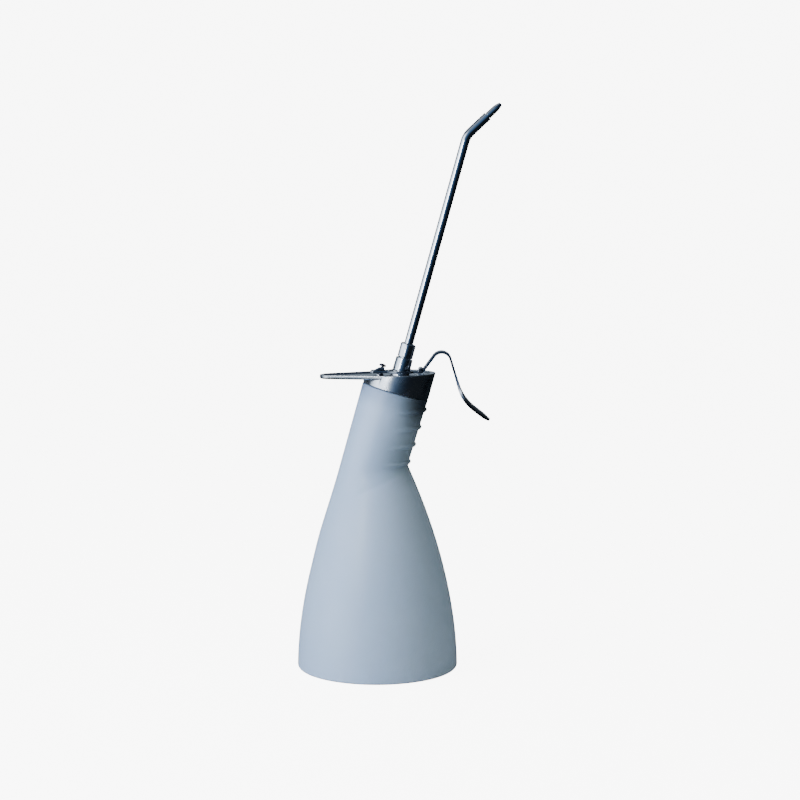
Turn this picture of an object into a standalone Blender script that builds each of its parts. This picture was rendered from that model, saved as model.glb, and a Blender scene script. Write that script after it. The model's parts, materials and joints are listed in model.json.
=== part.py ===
"""Pump oiler: a blow-moulded bottle with a leaning grip neck, a die-cast pump head with a thumb
rest, a stamped trigger lever that lifts a spring-returned plunger, and a swivelling bent spout.

Lengths are in metres, +Z is up and +X points from the thumb rest towards the spout's tip. Pieces
that follow the leaning neck are modelled on the neck's own axis, whose level 0 is the seam between
neck and head; the whole oiler is then moved so that its box stands centred on the origin.
"""

import math

import bmesh
import bpy
from mathutils import Matrix, Vector

# Allowances shared by all pieces
SEAT_GAP = 0.0003
RUNNING_GAP = 0.0002
OVERRUN = 0.002
SHARP_ANGLE = math.radians(35)

# Bottle: body of revolution
BODY_RADIUS = 0.0485
DOME_HEIGHT = 0.1597
DOME_POWER = 1.84
DOME_TOP_SHARE = 0.88
DOME_STEPS = 12
INNER_STEPS = 6
BODY_SIDES = 40
BOTTLE_WALL = 0.0014
FOOT_FILLET = 0.0018
FOOT_WIDTH = 0.006
PUSH_UP_DEPTH = 0.0016
PUSH_UP_SLOPE = 0.006

# Bottle: leaning neck and its mouth
NECK_TILT = math.radians(15.5)
SEAM_X = 0.0110
SEAM_Z = 0.1681
NECK_RADIUS = 0.0203
NECK_DRAFT_SHARE = 0.0145
NECK_ROOT_Z = 0.0665
NECK_SHOULDER = 0.002
FINISH_STEP = 0.0021
FINISH_WALL = 0.0017
FINISH_HEIGHT = 0.0028
RIB_COUNT = 4
RIB_TOP_DROP = 0.0113
RIB_PITCH = 0.0105
RIB_HEIGHT = 0.0013
RIB_WIDTH = 0.0036
RIB_WIDTH_SHARES = (-1.0, -0.5, 0.5, 1.0)
RIB_FADE_SHARE = 0.35

# Pump head casting
HEAD_LOW_SIDE = 0.0056
DECK_TILT = math.radians(1.0)
PLATE_THICKNESS = 0.0024
RECESS_DEPTH = 0.0009
RIM_WIDTH = 0.0022
EDGE_BREAK = 0.00035
WING_REACH = 0.0484
WING_TIP_RADIUS = 0.0082
WING_ROUND = 0.0009
WING_SINK = 0.0003
POCKET_LAND = 0.0004
GASKET_THICKNESS = 0.0008
PEDESTAL_RADIUS = 0.0058
PEDESTAL_STAND = 0.0002
ROD_BOSS_RADIUS = 0.0026
LUG_WIDTH = 0.0044
LUG_RADIUS = 0.0017
HEAD_SIDES = 48

# Spout: socket, nut, ferrule, tube and nozzle
SOCKET_RADIUS = 0.0053
SOCKET_TOP_RADIUS = 0.0051
SOCKET_HEIGHT = 0.0080
SHANK_RADIUS = 0.0032
SHANK_ENGAGE = 0.0042
SPIGOT_RADIUS = 0.0034
SPIGOT_HEIGHT = 0.0052
SOCKET_BORE = 0.0014
TUBE_STOP_DEPTH = 0.0080
NUT_FLATS = 0.0092
NUT_HEIGHT = 0.0088
NUT_ROOF = 0.0014
NUT_CHAMFER = 0.0007
FERRULE_LENGTH = 0.0020
FERRULE_BELLY = 0.0005
TUBE_RADIUS = 0.0027
TUBE_WALL = 0.0008
BEND_LEVEL = 0.1573
BEND_ANGLE = math.radians(31.4)
BEND_RADIUS = 0.012
BEND_STEPS = 6
SPOUT_END = 0.0169
NOZZLE_LENGTH = 0.0106
NOZZLE_ROOT_RADIUS = 0.00215
NOZZLE_CHEEK_RADIUS = 0.0019
NOZZLE_CHEEK_LENGTH = 0.0022
NOZZLE_TIP_RADIUS = 0.0012
NOZZLE_BORE = 0.0005
NOZZLE_SPIGOT = 0.005
TUBE_SIDES = 16

# Trigger lever and its pin
PIVOT_INSET = 0.00824
PIVOT_RISE = 0.00265
SHEET_THICKNESS = 0.0014
SHEET_LIFT = 0.00115
DRAW_THINNING = 0.00005
YOKE_BORE = 0.007
YOKE_RADIUS = 0.0092
BRIDGE_HALF_WIDTH = 0.0055
TONGUE_HALF_WIDTH = 0.0045
TONGUE_REACH = 0.0062
TONGUE_CORNER = 0.0015
TAB_ROOT_REACH = 0.0044
TAB_HALF_WIDTH = 0.0025
TAB_SLOT_MARGIN = 0.0004
TAB_SLOT_REACH = 0.0029
TAB_RISE = 0.0018
TAB_RAMP = 0.0036
TAB_TIP_REACH = 0.0014
KNUCKLE_RADIUS = 0.0017
KNUCKLE_WIDTH = 0.0034
PIN_RADIUS = 0.001
PIN_HEAD_RADIUS = 0.0016
PIN_HEAD_THICKNESS = 0.0007
ROOT_REACH = 0.001
ROOT_BEND = 0.0015
HUMP_REACH = 0.01464
HUMP_RISE = 0.0176
HUMP_BEND = 0.0056
SWEEP_REACH = 0.02515
SWEEP_DROP = 0.0174
SWEEP_BEND = 0.026
PAD_REACH = 0.0413
PAD_DROP = 0.0300
STRIP_HALF_WIDTH = 0.0046
PAD_HALF_WIDTH = 0.0084
PAD_DISH = 0.0008
PAD_TIP_LENGTH = 0.0075
STRIP_SHARES = (0.10, 0.30)
PAD_SHARES = (0.51, 0.72)
TIP_FADE_SHARE = 0.93
TIP_END_SHARE = 0.97
STRIP_STEPS = 32
STRIP_ACROSS_SHARES = (-1.0, -0.6, 0.0, 0.6, 1.0)

# Pump: plunger, barrel and valve column
BARREL_BORE = 0.003
BARREL_WALL = 0.001
BARREL_CLEARANCE = 0.0006
BARREL_LENGTH = 0.033
BARREL_ROOF = 0.0036
BARREL_END_THICKNESS = 0.002
ROD_RADIUS = 0.0008
CAP_RADIUS = 0.00215
CAP_THICKNESS = 0.0016
CAP_SOCKET_DEPTH = 0.0009
CAP_GAP = 0.0003
GLAND_SEAT_DROP = 0.0001
GLAND_HEAD_RADIUS = 0.0018
GLAND_HEAD_HEIGHT = 0.0011
GLAND_SHANK_RADIUS = 0.0016
SEAL_LENGTH = 0.0022
PISTON_LENGTH = 0.005
PISTON_SEAL_SHARE = 0.4
PISTON_GROOVE = 0.0007
SPRING_WIRE = 0.0006
SPRING_TURNS = 8
OUTLET_WIRE = 0.00035
OUTLET_RADIUS = 0.0013
OUTLET_TURNS = 5
SPRING_POINTS = 8
SPRING_SIDES = 6
COLUMN_RADIUS = 0.005
COLUMN_WASHER = 0.0005
OUTLET_CHAMBER = 0.0086
PORT_DROP = 0.0025
PORT_RADIUS = 0.0008
PASSAGE_LENGTH = 0.0092
PASSAGE_RADIUS = 0.0012
CAGE_DEPTH = 0.0051
CAGE_RADIUS = 0.0023
CAGE_NOTCH = 0.0008
BALL_RADIUS = 0.0017
SEAT_ENGAGE = 0.0097
SEAT_SPIGOT_RADIUS = 0.0031
SEAT_FLANGE = 0.0025
NIPPLE_RADIUS = 0.0018
NIPPLE_LENGTH = 0.0092
BARB_HEIGHT = 0.0003
BARB_COUNT = 2
WEB_WIDTH = 0.0032
PART_SIDES = 20
SMALL_SIDES = 16

# Dip tube and strainer
DIP_RADIUS = 0.0031
DIP_WALL = 0.0008
STRAINER_WALL = 0.0009
STRAINER_LENGTH = 0.0125
STRAINER_STOP = 0.0045
STRAINER_FLOOR_GAP = 0.003
STRAINER_SLOTS = 3
STRAINER_SLOT_WIDTH = 0.001
STRAINER_BRIDGE = 0.0009

TILT_SIN = math.sin(NECK_TILT)
TILT_COS = math.cos(NECK_TILT)
NECK_FRAME = Matrix.Translation((SEAM_X, 0.0, SEAM_Z)) @ Matrix.Rotation(NECK_TILT, 4, "Y")

# Sizes that follow from the ones above
FINISH_RADIUS = NECK_RADIUS - FINISH_STEP
FINISH_BORE = FINISH_RADIUS - FINISH_WALL
POCKET_RADIUS = FINISH_BORE - POCKET_LAND
GASKET_LEVEL = FINISH_HEIGHT + RUNNING_GAP
SKIRT_ROOF = GASKET_LEVEL + GASKET_THICKNESS + RUNNING_GAP
HEAD_TOP_Z = SEAM_Z + HEAD_LOW_SIDE * TILT_COS + NECK_RADIUS * TILT_SIN
RECESS_Z = HEAD_TOP_Z - RECESS_DEPTH
CEILING_Z = HEAD_TOP_Z - PLATE_THICKNESS
BARREL_RADIUS = BARREL_BORE + BARREL_WALL
ROD_OFFSET = POCKET_RADIUS - BARREL_RADIUS - BARREL_CLEARANCE


def axis_x(height):
    """X of the neck's axis at a height above the table."""
    return SEAM_X + (height - SEAM_Z) * math.tan(NECK_TILT)


def level_at(across, height):
    """Level along the neck's axis where a horizontal plane passes a distance across from it."""
    return (height - SEAM_Z + across * TILT_SIN) / TILT_COS


def rod_x(height):
    """X of the plunger rod's axis at a height above the table."""
    level = level_at(-ROD_OFFSET, height)
    return SEAM_X - ROD_OFFSET * TILT_COS + level * TILT_SIN


DECK_X = axis_x(HEAD_TOP_Z)
DECK_SLOPE = math.tan(DECK_TILT)
DECK_SHEAR = Matrix(((1, 0, 0, 0), (0, 1, 0, 0), (DECK_SLOPE, 0, 1, -DECK_SLOPE * DECK_X), (0, 0, 0, 1)))


def deck_level(across, height):
    """Level along the neck's axis where a plane with the deck's slope passes a distance across;
    height is that plane's own at the middle of the deck."""
    rise = height - SEAM_Z + across * TILT_SIN + DECK_SLOPE * (SEAM_X + across * TILT_COS - DECK_X)
    return rise / (TILT_COS - DECK_SLOPE * TILT_SIN)


PIVOT_X = DECK_X + NECK_RADIUS - PIVOT_INSET
PIVOT_Z = RECESS_Z + PIVOT_RISE
SHEET_Z = RECESS_Z + SHEET_LIFT + SHEET_THICKNESS / 2
PEDESTAL_LEVEL = deck_level(PEDESTAL_RADIUS, RECESS_Z) + PEDESTAL_STAND
PEDESTAL_FOOT = deck_level(-PEDESTAL_RADIUS, CEILING_Z) - PEDESTAL_STAND
COLUMN_TOP = PEDESTAL_FOOT - COLUMN_WASHER - 2 * RUNNING_GAP
BARREL_TOP = deck_level(-ROD_OFFSET - BARREL_RADIUS, CEILING_Z) - SEAT_GAP
ROD_BOSS_FOOT = BARREL_TOP + SEAT_GAP
GLAND_SEAT = deck_level(-ROD_OFFSET, RECESS_Z) - GLAND_SEAT_DROP
BARREL_BOTTOM = BARREL_TOP - BARREL_LENGTH
PISTON_BOTTOM = BARREL_BOTTOM + BARREL_END_THICKNESS + SEAT_GAP
PISTON_TOP = PISTON_BOTTOM + PISTON_LENGTH
BARREL_INNER_TOP = BARREL_TOP - BARREL_ROOF
SHANK_BOTTOM = COLUMN_TOP - SHANK_ENGAGE
OUTLET_SEAT = SHANK_BOTTOM - OUTLET_CHAMBER
PORT_LEVEL = OUTLET_SEAT - PORT_DROP
CAGE_TOP = OUTLET_SEAT - PASSAGE_LENGTH
INLET_SEAT = CAGE_TOP - CAGE_DEPTH
COLUMN_BOTTOM = INLET_SEAT - SEAT_ENGAGE
FLANGE_TOP = COLUMN_BOTTOM - SEAT_GAP
FLANGE_BOTTOM = FLANGE_TOP - SEAT_FLANGE
NIPPLE_END = FLANGE_BOTTOM - NIPPLE_LENGTH
DIP_TOP = FLANGE_BOTTOM - SEAT_GAP
STRAINER_RADIUS = DIP_RADIUS + RUNNING_GAP + STRAINER_WALL
STRAINER_LOW_Z = BOTTLE_WALL + STRAINER_FLOOR_GAP + STRAINER_RADIUS * TILT_SIN
STRAINER_BOTTOM = (STRAINER_LOW_Z - SEAM_Z) / TILT_COS
DIP_BOTTOM = STRAINER_BOTTOM + STRAINER_STOP
BALL_PERCH = math.sqrt(BALL_RADIUS ** 2 - PASSAGE_RADIUS ** 2) + SEAT_GAP
SOCKET_FOOT = PEDESTAL_LEVEL + SEAT_GAP
SOCKET_TOP = SOCKET_FOOT + SOCKET_HEIGHT
SPIGOT_TOP = SOCKET_TOP + SPIGOT_HEIGHT
TUBE_FOOT = SPIGOT_TOP - TUBE_STOP_DEPTH + SEAT_GAP
NUT_FOOT = SOCKET_TOP + SEAT_GAP
NUT_TOP = NUT_FOOT + NUT_HEIGHT
TAB_TOP_Z = SHEET_Z + TAB_RISE + SHEET_THICKNESS / 2
CAP_X = rod_x(TAB_TOP_Z)
CAP_FOOT = level_at(-ROD_OFFSET, TAB_TOP_Z) + TAB_TIP_REACH * math.tan(NECK_TILT) + CAP_GAP
NOZZLE_TIP_LEAN = NECK_TILT + BEND_ANGLE
NOZZLE_TIP_X = (SEAM_X + BEND_LEVEL * TILT_SIN
                + (SPOUT_END + NOZZLE_LENGTH) * math.sin(NOZZLE_TIP_LEAN)
                + NOZZLE_TIP_RADIUS * math.cos(NOZZLE_TIP_LEAN))


def clear_scene():
    for old in list(bpy.data.objects):
        bpy.data.objects.remove(old, do_unlink=True)


def metal(name, colour, roughness, metallic=1.0):
    """A Principled finish with one colour."""
    material = bpy.data.materials.new(name)
    material.use_nodes = True
    shader = material.node_tree.nodes["Principled BSDF"]
    shader.inputs["Base Color"].default_value = (*colour, 1.0)
    shader.inputs["Roughness"].default_value = roughness
    shader.inputs["Metallic"].default_value = metallic
    return material


def plastic(name, colour, roughness):
    return metal(name, colour, roughness, metallic=0.0)


def frame_empty(name, matrix, parent=None):
    """An empty that carries the pieces built on one axis."""
    empty = bpy.data.objects.new(name, None)
    bpy.context.scene.collection.objects.link(empty)
    empty.parent = parent
    empty.matrix_local = matrix
    return empty


def circle(radius, level, sides, centre=(0.0, 0.0)):
    turn = 2 * math.pi / sides
    return [Vector((centre[0] + radius * math.cos(i * turn),
                    centre[1] + radius * math.sin(i * turn), level)) for i in range(sides)]


def lofted(rings, closed=False):
    """Skin a row of rings with equal counts; closed joins the last ring back to the first."""
    bm = bmesh.new()
    loops = [[bm.verts.new(point) for point in ring] for ring in rings]
    pairs = list(zip(loops, loops[1:]))
    if closed:
        pairs.append((loops[-1], loops[0]))
    for low, high in pairs:
        for i in range(len(low)):
            j = (i + 1) % len(low)
            bm.faces.new((low[i], low[j], high[j], high[i]))
    if not closed:
        bm.faces.new(loops[0])
        bm.faces.new(loops[-1])
    bmesh.ops.recalc_face_normals(bm, faces=bm.faces)
    return bm


def turned(profile, sides=PART_SIDES, centre=(0.0, 0.0), bored=False):
    """Turn (radius, level) points about an upright axis; bored profiles are closed loops."""
    return lofted([circle(radius, level, sides, centre) for radius, level in profile], bored)


def tube_profile(outer, inner, low, high):
    return [(outer, low), (outer, high), (inner, high), (inner, low)]


def arc(centre, radius, start, end, steps):
    """Points of an arc in a plane, both ends included."""
    sweep = (end - start) / steps
    return [(centre[0] + radius * math.cos(start + i * sweep),
             centre[1] + radius * math.sin(start + i * sweep)) for i in range(steps + 1)]


def piece(name, bm, material, parent):
    """One named solid of the oiler."""
    mesh = bpy.data.meshes.new(name)
    bm.to_mesh(mesh)
    bm.free()
    mesh.materials.append(material)
    made = bpy.data.objects.new(name, mesh)
    bpy.context.scene.collection.objects.link(made)
    made.parent = parent
    return made


def shaped(target, label, bm, operation="DIFFERENCE"):
    """Cut, join or intersect a piece with a hidden tool on the same axis."""
    mesh = bpy.data.meshes.new(target.name + "_" + label)
    bm.to_mesh(mesh)
    bm.free()
    tool = bpy.data.objects.new(mesh.name, mesh)
    bpy.context.scene.collection.objects.link(tool)
    tool.parent = target.parent
    tool.hide_render = True
    tool.display_type = "WIRE"
    boolean = target.modifiers.new(label, "BOOLEAN")
    boolean.object = tool
    boolean.operation = operation
    boolean.solver = "EXACT"


def angle_shading():
    """Node group that shades a solid smooth, but for edges that turn by more than SHARP_ANGLE."""
    group = bpy.data.node_groups.new("shade_by_angle", "GeometryNodeTree")
    for direction in ("INPUT", "OUTPUT"):
        group.interface.new_socket("Geometry", in_out=direction, socket_type="NodeSocketGeometry")
    start = group.nodes.new("NodeGroupInput")
    faces = group.nodes.new("GeometryNodeSetShadeSmooth")
    edges = group.nodes.new("GeometryNodeSetShadeSmooth")
    edges.domain = "EDGE"
    angle = group.nodes.new("GeometryNodeInputMeshEdgeAngle")
    flat = group.nodes.new("FunctionNodeCompare")
    flat.operation = "LESS_THAN"
    flat.inputs["B"].default_value = SHARP_ANGLE
    end = group.nodes.new("NodeGroupOutput")
    group.links.new(start.outputs["Geometry"], faces.inputs["Geometry"])
    group.links.new(faces.outputs["Geometry"], edges.inputs["Geometry"])
    group.links.new(angle.outputs["Unsigned Angle"], flat.inputs["A"])
    group.links.new(flat.outputs["Result"], edges.inputs["Shade Smooth"])
    group.links.new(edges.outputs["Geometry"], end.inputs["Geometry"])
    return group


def shade_pieces():
    """Shade every piece after its cuts and joins."""
    group = angle_shading()
    for made in bpy.context.scene.objects:
        if made.type == "MESH" and not made.hide_render:
            made.modifiers.new("shading", "NODES").node_group = group


def moved(bm, matrix):
    bmesh.ops.transform(bm, matrix=matrix, verts=bm.verts)
    return bm


def extruded_across(outline, half_width):
    """Extrude an outline of (x, z) points to both sides of the middle plane."""
    return lofted([[Vector((x, side * half_width, z)) for x, z in outline] for side in (-1, 1)])


def extruded_up(outline, low, high):
    """Extrude an outline of (x, y) points between two heights."""
    return lofted([[Vector((x, y, z)) for x, y in outline] for z in (low, high)])


def cross_bar(radius, half_length, x, z, sides=SMALL_SIDES):
    """A cylinder lying along Y."""
    outline = arc((x, z), radius, 0.0, 2 * math.pi * (sides - 1) / sides, sides - 1)
    return extruded_across(outline, half_length)


def smooth_step(value, start, end):
    share = min(1.0, max(0.0, (value - start) / (end - start)))
    return share * share * (3 - 2 * share)


# Bottle

def dome_radius(height):
    return BODY_RADIUS * (1 - (height / DOME_HEIGHT) ** DOME_POWER)


def dome_slope(height):
    """Rise of the wall's outward normal for each unit that it points out."""
    return BODY_RADIUS * DOME_POWER / DOME_HEIGHT * (height / DOME_HEIGHT) ** (DOME_POWER - 1)


def body_profile(inset, steps):
    """Half section of the body from the middle of its base up to where the neck hides it."""
    shoulder = dome_radius(FOOT_FILLET)
    foot_outer = shoulder - FOOT_FILLET
    foot_inner = foot_outer - FOOT_WIDTH
    points = [(foot_inner - PUSH_UP_SLOPE, PUSH_UP_DEPTH + inset), (foot_inner, inset)]
    points += arc((foot_outer, FOOT_FILLET), FOOT_FILLET - inset, -math.pi / 2, 0.0, 4)
    top = DOME_TOP_SHARE * DOME_HEIGHT
    for i in range(1, steps + 1):
        height = FOOT_FILLET + (top - FOOT_FILLET) * i / steps
        rise = dome_slope(height)
        reach = inset / math.hypot(1.0, rise)
        points.append((dome_radius(height) - reach, height - reach * rise))
    return points


def rib_swell(height):
    """How far the grip ribs push the neck's wall towards the trigger at a height."""
    for i in range(RIB_COUNT):
        away = abs(height - (SEAM_Z - RIB_TOP_DROP - i * RIB_PITCH)) / (RIB_WIDTH / 2)
        if away < 1.0:
            return RIB_HEIGHT * math.sqrt(1.0 - away * away)
    return 0.0


def neck_point(angle, height, inset=0.0, ribbed=True):
    """A point of the neck's wall: horizontal sections that narrow towards the trigger side."""
    narrowing = max(0.0, SEAM_Z - height) * NECK_DRAFT_SHARE
    half_x = NECK_RADIUS / TILT_COS - narrowing - inset
    half_y = NECK_RADIUS - narrowing - inset
    facing = min(1.0, max(0.0, math.cos(angle)) / RIB_FADE_SHARE)
    swell = rib_swell(height) * facing if ribbed else 0.0
    x = axis_x(height) - narrowing + half_x * math.cos(angle) + swell
    return Vector((x, half_y * math.sin(angle), height))


def neck_ring(height, inset=0.0, ribbed=True):
    turn = 2 * math.pi / BODY_SIDES
    return [neck_point(i * turn, height, inset, ribbed) for i in range(BODY_SIDES)]


def mouth_ring(level, inset=0.0):
    """The neck's wall where a plane square to its axis cuts it at a level."""
    return [NECK_FRAME @ point for point in circle(NECK_RADIUS - inset, level, BODY_SIDES)]


def rib_heights():
    heights = []
    for i in reversed(range(RIB_COUNT)):
        middle = SEAM_Z - RIB_TOP_DROP - i * RIB_PITCH
        heights += [middle + share * RIB_WIDTH / 2 for share in RIB_WIDTH_SHARES]
    return heights


def make_bottle(material, parent):
    bottle = piece("bottle", turned(body_profile(0.0, DOME_STEPS), BODY_SIDES), material, parent)
    rings = [neck_ring(height) for height in [NECK_ROOT_Z] + rib_heights()]
    shaped(bottle, "neck", lofted(rings + [mouth_ring(0.0)]), "UNION")
    finish = turned([(FINISH_RADIUS, -OVERRUN), (FINISH_RADIUS, FINISH_HEIGHT)], BODY_SIDES)
    shaped(bottle, "finish", moved(finish, NECK_FRAME), "UNION")
    inside = body_profile(BOTTLE_WALL, INNER_STEPS)
    shaped(bottle, "body_hollow", turned(inside, BODY_SIDES))
    hollow = [neck_ring(NECK_ROOT_Z + BOTTLE_WALL, BOTTLE_WALL, False),
              mouth_ring(-NECK_SHOULDER, BOTTLE_WALL)]
    shaped(bottle, "neck_hollow", lofted(hollow))
    bore = [(FINISH_BORE, -NECK_SHOULDER - OVERRUN), (FINISH_BORE, FINISH_HEIGHT + OVERRUN)]
    shaped(bottle, "mouth", moved(turned(bore, BODY_SIDES), NECK_FRAME))


def make_gasket(material, neck):
    profile = tube_profile(FINISH_RADIUS, FINISH_BORE, GASKET_LEVEL, GASKET_LEVEL + GASKET_THICKNESS)
    piece("neck_gasket", turned(profile, HEAD_SIDES, bored=True), material, neck)


# Pump head

def cut_ring(radius, height):
    """The head's round wall where a plane along the deck cuts it, on the neck's own axis."""
    ring = circle(radius, 0.0, HEAD_SIDES)
    return [Vector((point.x, point.y, deck_level(point.x, height))) for point in ring]


def wing_outline(inset):
    """Plan of the top plate and thumb rest: the head's round and the wing's tip, hulled."""
    round_radius = NECK_RADIUS - WING_SINK
    tip_x = DECK_X - WING_REACH + WING_TIP_RADIUS
    lean = math.asin((round_radius - WING_TIP_RADIUS) / (DECK_X - tip_x))
    turn = math.pi / 2 + lean
    head = arc((DECK_X, 0.0), round_radius - inset, -turn, turn, 40)
    tip = arc((tip_x, 0.0), WING_TIP_RADIUS - inset, turn, 2 * math.pi - turn, 16)
    return head + tip


def wing_rings():
    """Sections of the wing from its rounded lower edge to its broken upper edge."""
    rings = []
    for inset, height in arc((WING_ROUND, CEILING_Z + WING_ROUND), WING_ROUND,
                             1.5 * math.pi, math.pi, 4):
        rings.append([Vector((x, y, height)) for x, y in wing_outline(inset)])
    for inset, height in ((0.0, HEAD_TOP_Z - EDGE_BREAK), (EDGE_BREAK, HEAD_TOP_Z)):
        rings.append([Vector((x, y, height)) for x, y in wing_outline(inset)])
    return rings


def lug_outline():
    """Side view of the cast lug that carries the lever's pin."""
    top = arc((PIVOT_X, PIVOT_Z), LUG_RADIUS, 0.0, math.pi, 8)
    foot = RECESS_Z - PLATE_THICKNESS / 4
    return top + [(PIVOT_X - LUG_RADIUS, foot), (PIVOT_X + LUG_RADIUS, foot)]


def make_head(material, neck):
    to_neck = NECK_FRAME.inverted()
    deck_to_neck = to_neck @ DECK_SHEAR
    wall = [circle(NECK_RADIUS, SEAT_GAP, HEAD_SIDES), cut_ring(NECK_RADIUS, HEAD_TOP_Z - EDGE_BREAK),
            cut_ring(NECK_RADIUS - EDGE_BREAK, HEAD_TOP_Z)]
    head = piece("pump_head", lofted(wall), material, neck)
    shaped(head, "wing", moved(lofted(wing_rings()), deck_to_neck), "UNION")
    recess = extruded_up(wing_outline(RIM_WIDTH), RECESS_Z, HEAD_TOP_Z + OVERRUN)
    shaped(head, "recess", moved(recess, deck_to_neck))
    pocket = lofted([circle(POCKET_RADIUS, -OVERRUN, HEAD_SIDES), cut_ring(POCKET_RADIUS, CEILING_Z)])
    shaped(head, "pocket", pocket)
    skirt = [(FINISH_RADIUS + SEAT_GAP, -OVERRUN), (FINISH_RADIUS + SEAT_GAP, SKIRT_ROOF)]
    shaped(head, "skirt", turned(skirt, HEAD_SIDES))
    pedestal = [(PEDESTAL_RADIUS, PEDESTAL_FOOT), (PEDESTAL_RADIUS, PEDESTAL_LEVEL)]
    shaped(head, "pedestal", turned(pedestal), "UNION")
    rod_boss = [(ROD_BOSS_RADIUS, ROD_BOSS_FOOT), (ROD_BOSS_RADIUS, GLAND_SEAT)]
    shaped(head, "rod_boss", turned(rod_boss, centre=(-ROD_OFFSET, 0.0)), "UNION")
    shaped(head, "lug", moved(extruded_across(lug_outline(), LUG_WIDTH / 2), to_neck), "UNION")
    drill_head(head, to_neck)


def drill_head(head, to_neck):
    """Holes for the socket's shank, the gland and the lever pin."""
    reach = PEDESTAL_LEVEL + OVERRUN
    hole = SHANK_RADIUS + RUNNING_GAP
    shaped(head, "socket_hole", turned([(hole, PEDESTAL_FOOT - OVERRUN), (hole, reach)]))
    spot = ROD_BOSS_RADIUS - SEAT_GAP
    spot_face = turned([(spot, GLAND_SEAT), (spot, reach)], centre=(-ROD_OFFSET, 0.0))
    shaped(head, "gland_spot_face", spot_face)
    hole = GLAND_SHANK_RADIUS + RUNNING_GAP
    gland = turned([(hole, ROD_BOSS_FOOT - OVERRUN), (hole, reach)], centre=(-ROD_OFFSET, 0.0))
    shaped(head, "gland_hole", gland)
    bore = cross_bar(PIN_RADIUS + RUNNING_GAP, LUG_WIDTH / 2 + OVERRUN, PIVOT_X, PIVOT_Z)
    shaped(head, "pin_hole", moved(bore, to_neck))


# Spout

def make_socket(material, neck):
    """The turned socket that the spout plugs into; its shank clamps the valve column."""
    seat = TUBE_RADIUS + RUNNING_GAP
    tube_stop = SPIGOT_TOP - TUBE_STOP_DEPTH
    profile = [(SHANK_RADIUS, SHANK_BOTTOM), (SHANK_RADIUS, SOCKET_FOOT),
               (SOCKET_RADIUS, SOCKET_FOOT), (SOCKET_TOP_RADIUS, SOCKET_TOP - EDGE_BREAK),
               (SOCKET_TOP_RADIUS - EDGE_BREAK, SOCKET_TOP), (SPIGOT_RADIUS, SOCKET_TOP),
               (SPIGOT_RADIUS, SPIGOT_TOP), (seat, SPIGOT_TOP), (seat, tube_stop),
               (SOCKET_BORE, tube_stop), (SOCKET_BORE, SHANK_BOTTOM)]
    piece("spout_socket", turned(profile, bored=True), material, neck)


def make_nut(material, neck):
    """Hexagon union nut with both ends chamfered and a roof that traps the ferrule."""
    corner = NUT_FLATS / math.sqrt(3)
    turn = math.pi / 3
    hexagon = [(corner * math.cos(turn / 2 + i * turn), corner * math.sin(turn / 2 + i * turn))
               for i in range(6)]
    nut = piece("union_nut", extruded_up(hexagon, NUT_FOOT, NUT_TOP), material, neck)
    rim = corner - NUT_CHAMFER
    envelope = [(rim, NUT_FOOT - SEAT_GAP), (corner + SEAT_GAP, NUT_FOOT + NUT_CHAMFER),
                (corner + SEAT_GAP, NUT_TOP - 2 * NUT_CHAMFER), (rim - NUT_CHAMFER, NUT_TOP + SEAT_GAP)]
    shaped(nut, "chamfers", turned(envelope, HEAD_SIDES), "INTERSECT")
    thread = SPIGOT_RADIUS + SEAT_GAP
    hole = TUBE_RADIUS + SEAT_GAP
    bore = [(thread, NUT_FOOT - OVERRUN), (thread, NUT_TOP - NUT_ROOF), (hole, NUT_TOP - NUT_ROOF),
            (hole, NUT_TOP + OVERRUN)]
    shaped(nut, "bore", turned(bore))


def make_ferrule(material, spout):
    low = SPIGOT_TOP + RUNNING_GAP
    high = low + FERRULE_LENGTH
    bore = TUBE_RADIUS + RUNNING_GAP
    waist = bore + FERRULE_BELLY / 2
    profile = [(waist, low), (waist + FERRULE_BELLY / 2, (low + high) / 2), (waist, high),
               (bore, high), (bore, low)]
    piece("spout_ferrule", turned(profile, bored=True), material, spout)


def spout_stations():
    """Stations up the spout's middle line: distance across, level and lean of the tube there."""
    tangent = BEND_RADIUS * math.tan(BEND_ANGLE / 2)
    stations = [(0.0, TUBE_FOOT, 0.0)]
    for i in range(BEND_STEPS + 1):
        lean = BEND_ANGLE * i / BEND_STEPS
        across = BEND_RADIUS * (1 - math.cos(lean))
        stations.append((across, BEND_LEVEL - tangent + BEND_RADIUS * math.sin(lean), lean))
    stations.append((SPOUT_END * math.sin(BEND_ANGLE),
                     BEND_LEVEL + SPOUT_END * math.cos(BEND_ANGLE), BEND_ANGLE))
    return stations


def leaning_ring(radius, across, level, lean, sides):
    """A ring square to a middle line that leans towards +X."""
    return [Vector((across + point.x * math.cos(lean), point.y, level - point.x * math.sin(lean)))
            for point in circle(radius, 0.0, sides)]


def make_tube(material, spout):
    stations = spout_stations()
    outer = [leaning_ring(TUBE_RADIUS, *station, TUBE_SIDES) for station in stations]
    bore = TUBE_RADIUS - TUBE_WALL
    inner = [leaning_ring(bore, *station, TUBE_SIDES) for station in reversed(stations)]
    piece("spout_tube", lofted(outer + inner, closed=True), material, spout)


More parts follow.
